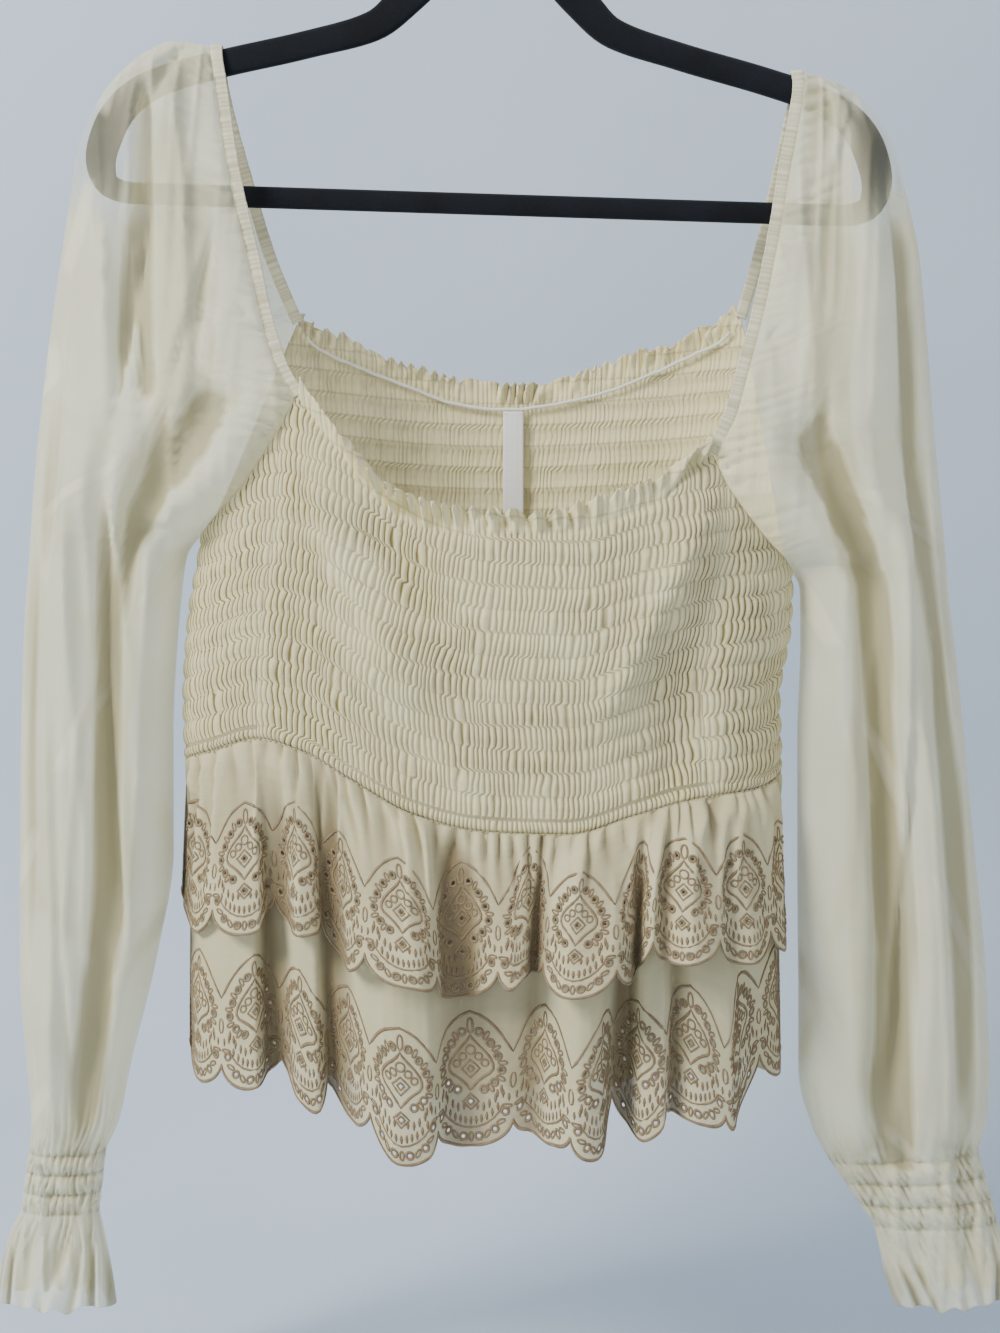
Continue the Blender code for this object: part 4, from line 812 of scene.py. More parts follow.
def pleats_out(pleats, x, z):
    """How far the front pleats stand out at x and z."""
    total = np.zeros_like(x)
    for pleat in pleats:
        line = np.array(sorted(pleat.line, key=lambda p: p[1]), float)
        u = x - smooth(line[:, 1], line[:, 0], z)
        step = 1 / (1 + np.exp((-u if pleat.left < pleat.right else u) / PLEAT_EDGE))
        raised = np.exp(-np.abs(u) / np.where(u < 0, pleat.left, pleat.right))
        sunk = np.exp(-np.abs(u) / PLEAT_HOLLOW)
        total += faded_ends(line, z, 45, 0.4) * (pleat.out * raised * step - pleat.hollow * sunk * (1 - step))
    return total


def creases_out(creases, across, down):
    total = 0.0
    for crease in creases:
        t = (down - crease.down_top) / (crease.down_foot - crease.down_top)
        fade = easing(1.0 + 3 * t) * easing(1.0 + 3 * (1 - t))
        middle = crease.across_top + (crease.across_foot - crease.across_top) * np.clip(t, 0, 1)
        total = total + crease.out * fade * np.exp(-((across - middle) / crease.width) ** 2)
    return total


# %% [markdown]
# The head's edge lies beside its binding as far as the bodice's corner, and beside the armhole from
# there to the underarm. The next cell finds both edges for every level, so that the fine sleeve meets the
# fine binding and the bodice all along its seam.

# %% A sleeve's levels
UNDERARM_EASE = 1.4


def neck_edge(side, fraction):
    point, width, _ = binding_frame(straps[side][0], np.float64(fraction))
    return point + STRAPS[side].outward * width * (BINDING_WIDTH / 2 + TUCK)


def armhole_edge(side, facing, fraction):
    angles = armhole_angles(side, facing)
    angle_at = lambda place: angles[0] + (angles[-1] - angles[0]) * place

    def on_edge(place):
        angle = angle_at(place)
        return bodice_point(angle, top_height(angle), UNDERARM_EASE * easing(2.0 * place - 1.0))

    angle = angle_at(fraction)
    ahead = on_edge(np.minimum(fraction + 0.01, 1.0)) - on_edge(np.maximum(fraction - 0.01, 0.0))
    outward = bodice_point(angle, top_height(angle), 1.0) - bodice_point(angle, top_height(angle), 0.0)
    aside = np.cross(ahead, outward)
    aside *= (np.sign(aside[..., 2]) / np.linalg.norm(aside, axis=-1))[..., None]
    return on_edge(fraction) + aside * TUCK


def sleeve_levels(side, heads, arms, cuff, flounce):
    """Each coarse level's front edge, outer point, back edge and depth, and where arm, cuff and flounce start."""
    shoulder = straps[side][1]
    head_x, head_z, head_depth = ([head[k] for head in heads] for k in (1, 2, 3))
    places = [head.along for head in heads]
    levels = []
    for stop in NECK_STOPS + tuple(1 + stop for stop in ARMHOLE_STOPS):
        if stop <= 1.0:
            front = neck_edge(side, shoulder * (1 - stop))
            back = neck_edge(side, shoulder + (1 - shoulder) * stop)
        else:
            front, back = (armhole_edge(side, facing, np.float64(stop - 1)) for facing in ("front", "back"))
        outer = [smooth(places, head_x, stop), 0.0, smooth(places, head_z, stop)]
        levels.append((front, outer, back, smooth(places, head_depth, stop)))
    in_head, spaces = len(levels), 2 * CUFF_ROWS - 2
    threads = [Arm(*(a + (b - a) * k / spaces for a, b in zip(*cuff))) for k in range(spaces + 1)]
    for row in [*arms, *threads, *flounce]:
        inner = [row.inner_x, row.middle, row.inner_z]
        levels.append((inner, [row.outer_x, row.middle, row.outer_z], inner, row.depth))
    starts = (in_head, in_head + len(arms), in_head + len(arms) + len(threads))
    return [np.array(part, float) for part in zip(*levels)], starts


# %% [markdown]
# Between two coarse levels everything is interpolated smoothly, and fine form is added: gathers that fan
# out from the binding and the armhole, the pleats, the wrist's four rows of shirring and the flounce's
# waves. The levels are close together where gathers cross them and wider apart down the plain arm.

# %% The sleeves
SLEEVE_CLOTH = 0.4
SLEEVE_HALF = 58          # columns on the front half, and as many behind
HEAD_STEP, ARM_STEP, WRIST_STEP = 1.6, 3.0, 1.1


def sleeve(side, heads, arms, cuff, flounce, creases, pleats):
    (front, outer, back, depth), starts = sleeve_levels(side, heads, arms, cuff, flounce)
    arm_start, cuff_start, flounce_start = starts
    coarse = np.arange(len(depth), dtype=float)
    travel = np.maximum(*(np.linalg.norm(np.diff(part, axis=0), axis=1) for part in (outer, front)))
    spacing = np.where(coarse[:-1] < arm_start, HEAD_STEP, np.where(coarse[:-1] < cuff_start - 1, ARM_STEP, WRIST_STEP))
    level = np.concatenate([np.linspace(a, a + 1, max(2, int(round(d / gap))) + 1)[:-1]
                            for a, d, gap in zip(coarse, travel, spacing)] + [[coarse[-1]]])
    at = lambda values: np.stack([smooth(coarse, values[:, k], level) for k in range(3)], axis=-1)
    front, outer, back = at(front), at(outer), at(back)
    depth = smooth(coarse, depth, level)
    down = level[:, None]
    share = np.concatenate([np.linspace(0, 1, SLEEVE_HALF + 1), np.linspace(1, 0, SLEEVE_HALF + 1)[1:]])
    t = 0.4 * share + 0.3 * (1 - np.cos(np.pi * share))
    in_front = np.arange(2 * SLEEVE_HALF + 1) <= SLEEVE_HALF
    facing = np.where(in_front, -1.0, 1.0)
    across = np.where(in_front, t, 2 - t)[None]
    edge = np.where(in_front[None, :, None], front[:, None], back[:, None])
    base = edge + (outer[:, None] - edge) * t[None, :, None]
    x, z = base[..., 0], base[..., 2]
    draped = np.sqrt(np.clip(t * (2 - t) * (1 - t ** 4), 0, 1))
    closed = np.sqrt(np.clip(1 - (2 * t - 1) ** 2, 0, 1))
    under = easing((down - len(NECK_STOPS)) / (len(ARMHOLE_STOPS) - 1))
    belly = np.sin(np.pi * t)
    plain = depth[:, None] * (draped + (closed - draped) * under)
    fade = np.minimum(1.0, depth / 16.0)[:, None] * belly
    out = plain + 1.25 * creases_out(creases, across, down) * fade * easing((down - 1) / 2)

    # Gathers along the seam, long ridges down the cloth and the pleats of the front.
    seam = lengths(edge[:, 0])[:, None]
    gap = np.linalg.norm(base - edge, axis=-1)
    inside = np.minimum(1.0, depth / 9.0)[:, None]
    in_head = easing((arm_start + 0.5 - down) / 1.5)
    sway = noise(seam / 14.0 + gap / 60.0, facing * 3.0 + gap / 45.0, 41)
    gather = 1.6 * np.abs(np.sin(np.pi * (seam / 9.5 + 1.1 * sway))) ** 0.6 - 1.0
    strength = 1.9 * np.exp(-gap / 14.0) + 1.5 * np.exp(-gap / 40.0) * noise(seam / 16.0, facing, 43)
    out = out + in_head * inside * strength * gather * np.minimum(1.0, gap / 2.0)
    ridge = 1 - np.abs(noise(x / 15.0 + z / 260.0, z / 170.0 + facing * 9, 45))
    second = 1 - np.abs(noise(x / 8.0 - z / 150.0, z / 110.0 + facing * 5, 46))
    out = out + inside * (6.0 * (ridge ** 3 - 0.4) + 2.4 * (second ** 3 - 0.4)) * belly ** 0.6
    out = out + np.where(in_front, 1.3 * pleats_out(pleats, x, z), 0.0) * belly ** 0.5

    # The wrist's gathers, its shirred rows and the flounce.
    arc = across * np.linalg.norm(outer - front, axis=-1)[:, None]
    wrist = easing((down - (cuff_start - 2.4)) / 2.4) * easing((flounce_start + 1.2 - down) / 1.2)
    long_gather = np.sin(2 * np.pi * (across * 15 + 0.9 * noise(across * 9, 0.5 + down / 2.0, 47)))
    out = out + 1.5 * wrist * long_gather * (0.6 + 0.4 * noise(across * 14, down, 49))
    thread = (down - cuff_start) / 2.0
    on_cuff = easing((down - cuff_start + 0.6) / 0.6) * easing((flounce_start - 0.6 - down) / 0.6)
    puff = np.abs(np.sin(np.pi * thread)) ** 0.7
    pucker = np.abs(np.sin(np.pi * (arc / 3.6 + 0.6 * noise(arc / 8.0, np.floor(thread) * 2.3, 51))))
    out = out + on_cuff * (2.2 * (puff - 0.5) + 1.3 * (pucker - 0.5) * (0.5 + 0.5 * puff))
    opened = easing((down - flounce_start + 0.5) / 2.2)
    waves = np.sin(2 * np.pi * (across * 6.0 + 0.8 * noise(across * 4, down / 3, 53)))
    out = out + opened * 4.4 * waves * (0.7 + 0.5 * noise(across * 5, 0.0, 55))

    base[..., 1] = edge[..., 1] + (outer[:, None, 1] - edge[..., 1]) * t + facing * out
    base[..., 2] += opened * (2.2 * noise(across * 11, 0.5, 57) + 1.2 * waves)
    # The tone is partly painted shade: lighter on ridges, darker in hollows and between the wrist's puckers, where the
    # cloth also lies in more layers.
    tone = np.clip(0.6 + (out - plain) / 6.0, 0, 0.8) - on_cuff * (0.16 + 0.24 * (1 - pucker))
    end_x, end_z, reach = SINGLE_LAYER[side]
    single = np.exp(-((base[..., 0] - end_x) / reach) ** 4 - ((base[..., 2] - end_z) / SINGLE_HALF_HEIGHT) ** 4)
    tone = np.clip(tone + (1 - tone) * single, 0, 1)
    number = np.arange(tone.size, dtype=float).reshape(tone.shape)
    number[0, SLEEVE_HALF + 1:] = number[0, SLEEVE_HALF - 1::-1]
    joined = level >= arm_start - 1
    number[joined, -1] = number[joined, 0]
    base[joined, -1] = base[joined, 0]
    uv = np.stack([arc, np.broadcast_to(lengths(outer)[:, None], arc.shape)], axis=-1)
    return cloth(f"voile_sleeve_{side}", base, uv, voile, SLEEVE_CLOTH, 0.0, number, tone)


sleeves = [
    sleeve("left", LEFT_HEAD, LEFT_ARM, LEFT_CUFF, LEFT_FLOUNCE, LEFT_CREASES, LEFT_PLEATS),
    sleeve("right", RIGHT_HEAD, RIGHT_ARM, RIGHT_CUFF, RIGHT_FLOUNCE, RIGHT_CREASES, RIGHT_PLEATS),
]
print("sleeves:", [len(piece.data.polygons) for piece in sleeves], "faces")

# %% [markdown]
# The peplum is two tiers of cotton with a traditional eyelet border: scallops with a satin edge, cut
# eyelets, small loops and a corded arch over a lozenge. The border repeats the same motif twelve times on
# each half, so only one scallop is charted here, flat and in millimetres, half of it mirrored. It could be
# painted as a texture, but real holes and raised thread catch the light and stay sharp from near by.

# %% Chart one scallop of the border
PITCH = 42.0
HALF_PITCH = PITCH / 2
SCALLOPS = 12
SCALLOP_RISE = 14.0
BORDER_TOP = 70.0
TIER_TOP = 100.0
THREAD_RISE = 0.42
EYELET = 0.95             # its radius
Stitch = namedtuple("Stitch", "x y turn")
RIM_EYELETS = table(Stitch, (17, 18.6, 0), (11.9, 9.6, 0), (3.9, 5.6, 0))
RIM_LOOPS = table(Stitch, (14.9, 13.4, 28), (8.1, 6.9, 62), (0, 5.2, 90))
CROWN_EYELETS = table(Stitch,
    (4.2, 58.8, 0), (9.6, 53.2, 0), (13.3, 46.7, 0), (15.2, 39.6, 0), (11.6, 33.2, 0), (6.6, 29.5, 0))
CROWN_LOOPS = table(Stitch, (7.6, 56.9, 62), (12.4, 50.5, 34), (15.7, 43.3, 3), (14.8, 35.4, -27), (9.9, 30.4, -54))
BERRIES = [(0.0, 49.6, 2.35), (3.9, 46.2, 1.85), (7.0, 42.9, 1.75)]
LOZENGE = [(0.0, 57.0), (1.7, 54.3), (4.4, 51.3), (7.4, 48.2), (9.8, 45.0), (11.0, 42.2), (11.0, 40.0),
           (9.6, 37.9), (7.0, 36.2), (4.3, 34.1), (2.0, 31.6), (0.0, 29.2)]
ARCH = [(21.0, 48.6), (18.5, 52.4), (15.6, 56.8), (12.2, 61.1), (8.7, 64.6), (4.7, 67.3), (0.0, 69.2)]
INNER_ARC = [(15.6, 22.0), (14.2, 18.6), (11.4, 15.2), (7.6, 12.2), (3.8, 10.5), (0.0, 9.9)]
# Upright dashes: the distances from the middle, the height of their foot, over the inner arc or not, and length.
DASHES = [
    ((0.0, 2.7, 5.3, 7.9, 10.6, 13.4), 1.3, True, 4.2), ((6.4, 9.2, 12.2, 15.2), 6.6, True, 4.6),
    ((18.9,), 24.0, False, 4.0), ((13.2, 16.0), 25.6, False, 4.2), ((3.4,), 8.4, True, 3.4),
]


def scallop_edge(x):
    """The height of the scalloped edge, `x` from the middle of its scallop."""
    share = np.clip(np.abs(np.asarray(x, float)) / HALF_PITCH, 0, 1)
    return SCALLOP_RISE * (1 - (1 - share ** 2) ** 0.6)


def mirrored(line):
    """A line that ends on the middle, carried on through its mirror image."""
    return line + [(-x, y) for x, y in reversed(line[:-1])]


def both_sides(stitches):
    return stitches + [Stitch(-s.x, s.y, 180 - s.turn) for s in stitches if s.x > 0]


def oval(x, y, half_length, half_width, turn, count):
    """A closed outline: round, or long with round ends."""
    angle = np.linspace(0, 2 * np.pi, count, endpoint=False)
    a, b = half_length * np.cos(angle), half_width * np.sin(angle)
    c, s = math.cos(math.radians(turn)), math.sin(math.radians(turn))
    return np.column_stack([x + a * c - b * s, y + a * s + b * c])


def diamond(x, y, half):
    corners = np.array([(half, 0), (0, half), (-half, 0), (0, -half)], float)
    middle = (corners + np.roll(corners, -1, axis=0)) / 2
    return np.array([x, y]) + np.stack([corners, middle], axis=1).reshape(-1, 2)


dashes = []
for places, foot, over_arc, long in DASHES:
    for x in sorted({side * place for place in places for side in (-1, 1)}):
        dashes.append((x, foot + over_arc * np.interp(abs(x), *zip(*sorted(INNER_ARC))), long))
eyelets = both_sides(RIM_EYELETS) + both_sides(CROWN_EYELETS)
holes = [(s.x, s.y) for s in eyelets] + [(0.0, 40.0), (0.0, 23.2)]
print("eyelets in one scallop:", len(holes), "dashes:", len(dashes))

# %% [markdown]
# Cloth with holes needs a mesh that follows the cut edges. A constrained triangulation keeps every outline
# as edges and fills the rest with small triangles, and the triangles inside a hole are then left out. The
# left and right sides carry points at the same heights, so that neighbouring scallops join.

# %% Cut one scallop of cloth with its eyelets
CLOTH_STEP = 1.45
HOLE_SIDES = 9


def rim_points(count):
    """Places across the scallop, closer together where its edge is steep."""
    return HALF_PITCH * np.sin(np.linspace(-np.pi / 2, np.pi / 2, count))


def scallop_cloth(rows_above):
    """One scallop, flat: the border in true millimetres and the plain cloth above it up to TIER_TOP."""
    across = np.linspace(-HALF_PITCH, HALF_PITCH, 31)
    heights = np.arange(SCALLOP_RISE, BORDER_TOP, CLOTH_STEP).tolist()
    heights += np.linspace(BORDER_TOP, TIER_TOP, rows_above + 1).tolist()
    points = [(x, float(scallop_edge(x))) for x in rim_points(33)]
    points += [(HALF_PITCH, y) for y in heights[1:]]
    points += [(x, TIER_TOP) for x in across[-2:0:-1]]
    points += [(-HALF_PITCH, y) for y in heights[:0:-1]]
    edges = [(i, (i + 1) % len(points)) for i in range(len(points))]
    for x, y in holes:
        first = len(points)
        points += oval(x, y, EYELET, EYELET, 0, HOLE_SIDES).tolist()
        edges += [(first + i, first + (i + 1) % HOLE_SIDES) for i in range(HOLE_SIDES)]
    to_hole = lambda x, y: min(math.hypot(a - x, b - y) for a, b in holes)
    for y in [CLOTH_STEP * k for k in range(1, 10)] + heights[:-1]:
        points += [(x, y) for x in across[1:-1] if to_hole(x, y) > EYELET + 0.5 and y > scallop_edge(x) + 0.7]
    found, _, faces, *_ = geometry.delaunay_2d_cdt([Vector(p) for p in points], edges, [], 0, 1e-5)
    found = np.array([tuple(p) for p in found])
    kept = []
    for face in faces:
        x, y = found[face].mean(axis=0)
        if to_hole(x, y) >= EYELET * 0.93 and y > scallop_edge(x):
            kept.append(face)
    verts = np.column_stack([found[:, 0] + HALF_PITCH, found[:, 1], np.zeros(len(found))])
    return new_mesh("flat_cloth", verts, kept, eyelet_cotton, uv=found)


# %% [markdown]
# Satin stitch lies on the cloth as a low rounded rib. Each stitch here is a line in the chart swept with a
# three-cornered section: its ridge catches the light, and its flat foot rests on the cloth. A few dozen
# faces for each keep the whole border light.

# %% Embroider one scallop
FOOT_RISE = 0.2


def rib(line, width, closed, rise=THREAD_RISE):
    """Points, faces and flat coordinates of a raised rib of thread along a line."""
    line = np.asarray(line, float)
    count = len(line)
    if closed:
        ahead, behind = np.roll(line, -1, axis=0), np.roll(line, 1, axis=0)
    else:
        ahead, behind = np.vstack([line[1:], line[-1:]]), np.vstack([line[:1], line[:-1]])
    way = ahead - behind
    way /= np.linalg.norm(way, axis=1)[:, None]
    ends = np.ones(count)
    if not closed:
        ends[[0, -1]] = 0.45
    side = np.column_stack([way[:, 1], -way[:, 0]]) * width / 2 * ends[:, None]
    foot = np.full(count, FOOT_RISE)
    points = np.concatenate([
        np.column_stack([line + side, foot]),
        np.column_stack([line, foot + rise * np.where(ends < 1, 0.5, 1.0)]),
        np.column_stack([line - side, foot]),
    ])
    walked = lengths(line)
    flat = np.concatenate([np.column_stack([walked, np.full(count, across)]) for across in (-width / 2, 0, width / 2)])
    faces = []
    for i in range(count if closed else count - 1):
        j = (i + 1) % count
        for a, b in ((0, 1), (1, 2), (2, 0)):
            faces.append((a * count + i, a * count + j, b * count + j, b * count + i))
    if not closed:
        faces += [(0, count, 2 * count), (3 * count - 1, 2 * count - 1, count - 1)]
    return points, faces, flat


def scallop_thread():
    """All the stitches of one scallop: edge, arch, lozenge, rings round the eyelets, loops and dashes."""
    ribs = [rib([(x, scallop_edge(x) + 0.5) for x in rim_points(27)], 1.7, False, 0.5),
            rib(mirrored(ARCH), 1.6, False, 0.5), rib(mirrored(INNER_ARC), 1.2, False),
            rib(LOZENGE + [(-x, y) for x, y in LOZENGE[-2:0:-1]], 1.6, True)]
    ribs += [rib(oval(s.x, s.y, 1.8, 1.8, 0, 10), 1.6, True) for s in eyelets]
    berries = BERRIES + [(-x, y, radius) for x, y, radius in BERRIES if x > 0]
    ribs += [rib(oval(x, y, radius, radius, 0, 12), 1.2, True) for x, y, radius in berries]
    ribs += [rib(oval(s.x, s.y, 2.3, 0.95, s.turn, 12), 1.15, True)
             for s in both_sides(RIM_LOOPS) + both_sides(CROWN_LOOPS)]
    ribs.append(rib(oval(0, 61.9, 3.8, 1.45, 90, 14), 1.2, True))
    ribs += [rib(oval(x, 21.6, 2.5, 0.8, 0, 12), 1.1, True) for x in (-17.9, 17.9)]
    tie = [(HALF_PITCH - 0.1, 30.2), (19.9, 31.4), (19.5, 34.0), (19.9, 36.8), (HALF_PITCH - 0.1, 38.2)]
    ribs += [rib([(side * x, y) for x, y in tie], 1.2, False) for side in (-1, 1)]
    for centre, outer in ((40.0, 4.6), (23.2, 4.0)):
        ribs += [rib(diamond(0, centre, outer), 1.3, True), rib(diamond(0, centre, 1.9), 1.2, True)]
    ribs += [rib([(x, y), (x, y + long / 2), (x, y + long)], 1.75, False) for x, y, long in dashes]
    points, quads, flats = zip(*ribs)
    starts = np.cumsum([0] + [len(part) for part in points])
    faces = [tuple(int(start) + i for i in quad) for start, part in zip(starts, quads) for quad in part]
    verts = np.concatenate(points) + np.array([HALF_PITCH, 0.0, 0.0])
    return new_mesh("flat_thread", verts, faces, satin_thread, uv=np.concatenate(flats))


# %% [markdown]
# A Geometry Nodes tree repeats the scallop along the strip and lays it on the hanging tier. The tier is a
# plain sheet whose UV map holds its flat cut, so Sample UV Surface answers the question a sewer would ask:
# where does this point of the flat strip hang? Height above the flat chart becomes height along the normal.

# %% The tree that lays a flat border on a hanging sheet
JOIN_WITHIN = 0.00002
UV_MARGIN = 0.00001


def node_tree(name, inputs):
    """An empty Geometry Nodes tree with its named inputs: (name, socket kind, starting value)."""
    tree = bpy.data.node_groups.new(name, "GeometryNodeTree")
    tree.interface.new_socket("Geometry", in_out="INPUT", socket_type="NodeSocketGeometry")
    for label, kind, value in inputs:
        socket = tree.interface.new_socket(label, in_out="INPUT", socket_type="NodeSocket" + kind)
        if value is not None:
            socket.default_value = value
    tree.interface.new_socket("Geometry", in_out="OUTPUT", socket_type="NodeSocketGeometry")
    return tree, node(tree, "NodeGroupInput")


def grown(obj, tree, values):
    """The plain mesh that a tree makes of an object with the named inputs."""
    modifier = obj.modifiers.new(tree.name, "NODES")
    modifier.node_group = tree
    for item in tree.interface.items_tree:
        if item.in_out == "INPUT" and item.name in values:
            modifier[item.identifier] = values[item.name]
    return settled(obj)


border, given = node_tree("lay a flat border on a sheet", [
    ("Tile", "Object", None), ("Count", "Int", SCALLOPS), ("Pitch", "Float", PITCH * MM),
    ("Strip Height", "Float", TIER_TOP * MM), ("Join Within", "Float", JOIN_WITHIN), ("Flat UV", "Bool", True),
    ("Material", "Material", None)])


def stored(geometry_in, name, value, data_type, domain):
    return node(border, "StoreNamedAttribute", {"Geometry": geometry_in, "Name": name, "Value": value},
                data_type=data_type, domain=domain), "Geometry"


def named(name, data_type):
    return node(border, "InputNamedAttribute", {"Name": name}, data_type=data_type), "Attribute"


offset = node(border, "ShaderNodeCombineXYZ", {"X": (given, "Pitch")})
line = node(border, "MeshLine", {"Count": (given, "Count"), "Offset": (offset, "Vector")})
tile = node(border, "ObjectInfo", {"Object": (given, "Tile")})
repeated = node(border, "InstanceOnPoints", {"Points": (line, "Mesh"), "Instance": (tile, "Geometry")})
strip = node(border, "RealizeInstances", {"Geometry": (repeated, "Instances")})
strip = node(border, "MergeByDistance", {"Geometry": (strip, "Geometry"), "Distance": (given, "Join Within")})
place = node(border, "InputPosition"), "Position"
sheet_uv = named("UVMap", "FLOAT_VECTOR")
flat = node(border, "Switch", {"Switch": (given, "Flat UV"), "False": sheet_uv, "True": place}, input_type="VECTOR")
strip = stored((strip, "Geometry"), "UVMap", (flat, "Output"), "FLOAT2", "CORNER")
parts = node(border, "ShaderNodeSeparateXYZ", {"Vector": place})
long = maths(border, "MULTIPLY", (given, "Pitch"), (given, "Count"))
spot = node(border, "ShaderNodeCombineXYZ", {
    "X": between(border, (parts, "X"), 0.0, long, UV_MARGIN, 1 - UV_MARGIN),
    "Y": between(border, (parts, "Y"), 0.0, (given, "Strip Height"), UV_MARGIN, 1 - UV_MARGIN)})


def hung(value, data_type="FLOAT_VECTOR"):
    """What the hanging sheet has where this point of the flat strip comes to lie."""
    return node(border, "SampleUVSurface", {"Mesh": (given, "Geometry"), "Value": value, "UV Map": sheet_uv,
                                            "Sample UV": (spot, "Vector")}, data_type=data_type), "Value"


# The tile takes the sheet's tone, which carries painted shade.
strip = stored(strip, "tone", hung(named("tone", "FLOAT"), "FLOAT"), "FLOAT", "POINT")
normal = hung((node(border, "InputNormal"), "Normal"))
lift = node(border, "ShaderNodeVectorMath", {0: normal, "Scale": (parts, "Z")}, operation="SCALE")
laid = node(border, "SetPosition", {"Geometry": strip, "Position": hung(place), "Offset": (lift, "Vector")})
painted = node(border, "SetMaterial", {"Geometry": (laid, "Geometry"), "Material": (given, "Material")})
node(border, "NodeGroupOutput", {"Geometry": (painted, "Geometry")})
print("border tree:", len(border.nodes), "nodes")

# %% [markdown]
# Each tier hangs from the waist seam. Its hem is a table of ridges and hollows seen from above; the cloth
# opens from the seam towards them, and small gathers run down from the stitches and die away.

# %% The hanging sheets in sizes
TIER_HALF_WALL = 0.6      # the plain tier's wall is 1.2 mm, and the cloth is its middle
TIER_CLOTH = 0.4
SEAM_GAP = 0.1
LOWER_TIER_INSET = 1.7
HANG = 0.65
HOLLOW_SHIFT = 0.35       # how far the hollows of the hem come forward
COLUMNS_EACH = 28         # columns of the sheet for each scallop
FOLD_SPAN = 34            # columns over which a fold of the hem is smoothed away
# Each hem in x, y and z, from one side seam to the other.
UPPER_FRONT_HEM = [
    (-172.5, 0, -608), (-159, -28, -617), (-138, -48, -615), (-125, -50, -613), (-121, -42, -608),
    (-112, -42, -612), (-102.8, -61, -614), (-94.5, -58, -616), (-91.5, -49, -621), (-83, -53, -625),
    (-75, -72, -632), (-60, -85, -634), (-42, -88, -637), (-31.5, -79, -645), (-29.5, -68, -646), (-18, -64, -644),
    (-6, -73, -643), (3, -80, -643), (11.5, -75, -633), (15.5, -64, -632), (22, -77, -640), (36.8, -90, -641),
    (56, -87, -640), (65, -75, -637), (69, -64, -631), (75, -79, -627), (82, -70, -626), (95, -79, -626),
    (110, -72, -627), (118, -61, -628), (128, -60, -628), (140, -43, -627), (150, -26, -626), (153.8, 0, -626)]
UPPER_BACK_HEM = [
    (153.8, 0, -626), (149, 24, -628), (133, 42, -630), (124, 60, -632), (112, 62, -633), (105, 52, -632),
    (93, 60, -634), (80, 80, -636), (66, 78, -637), (60, 62, -636), (48, 66, -637), (34, 84, -639), (18, 82, -640),
    (11, 64, -638), (-2, 66, -638), (-14, 84, -640), (-30, 82, -638), (-36, 64, -636), (-48, 64, -635),
    (-60, 80, -634), (-76, 77, -632), (-84, 60, -629), (-98, 58, -626), (-112, 68, -624), (-128, 58, -620),
    (-137, 42, -616), (-157, 36, -612), (-168, 20, -610), (-172.5, 0, -608)]
LOWER_FRONT_HEM = [
    (-168, 0, -690), (-160, -22, -695), (-142, -38, -698), (-127, -42, -695), (-122.5, -29, -692),
    (-112, -33, -694), (-103.5, -46, -702), (-94.5, -48, -709), (-88.5, -39, -702), (-80, -46, -708),
    (-66, -68, -716), (-50.7, -76, -727), (-36, -73, -728), (-26, -60, -722), (-12, -56, -722), (4, -58, -722),
    (15, -58, -716), (25, -72, -718), (38, -82, -727), (50, -76, -723), (56, -58, -708), (64, -52, -712),
    (73, -65, -718), (82, -66, -716), (88, -55, -706), (102, -62, -710), (117, -61, -720), (124, -48, -702),
    (136, -38, -692), (147, -22, -692), (151, 0, -694)]
LOWER_BACK_HEM = [
    (151, 0, -694), (146, 22, -698), (130, 37, -702), (120, 52, -706), (106, 51, -708), (98, 43, -709),
    (84, 60, -712), (70, 70, -715), (58, 55, -716), (46, 54, -718), (32, 74, -720), (14, 70, -720), (4, 54, -718),
    (-12, 72, -720), (-30, 68, -720), (-40, 52, -718), (-56, 66, -716), (-72, 66, -713), (-82, 50, -710),
    (-98, 48, -706), (-114, 56, -704), (-130, 45, -700), (-148, 33, -696), (-162, 20, -692), (-168, 0, -690)]


def calmed(padded, span):
    """A soft mean over `span` points to either side, of a run that was padded by as many."""
    window = np.hanning(2 * span + 1)
    return np.convolve(padded, window / window.sum(), mode="valid")


def hang_angles(x, start):
    """The waist angle that each hem point hangs from: its own place, with the folds smoothed away."""
    span = len(x) // 7
    calm = calmed(np.concatenate([2 * x[0] - x[span:0:-1], x, 2 * x[-1] - x[-2:-span - 2:-1]]), span)
    share = (calm - calm[0]) / (calm[-1] - calm[0])
    return start + np.degrees(np.arccos(1 - 2 * share))


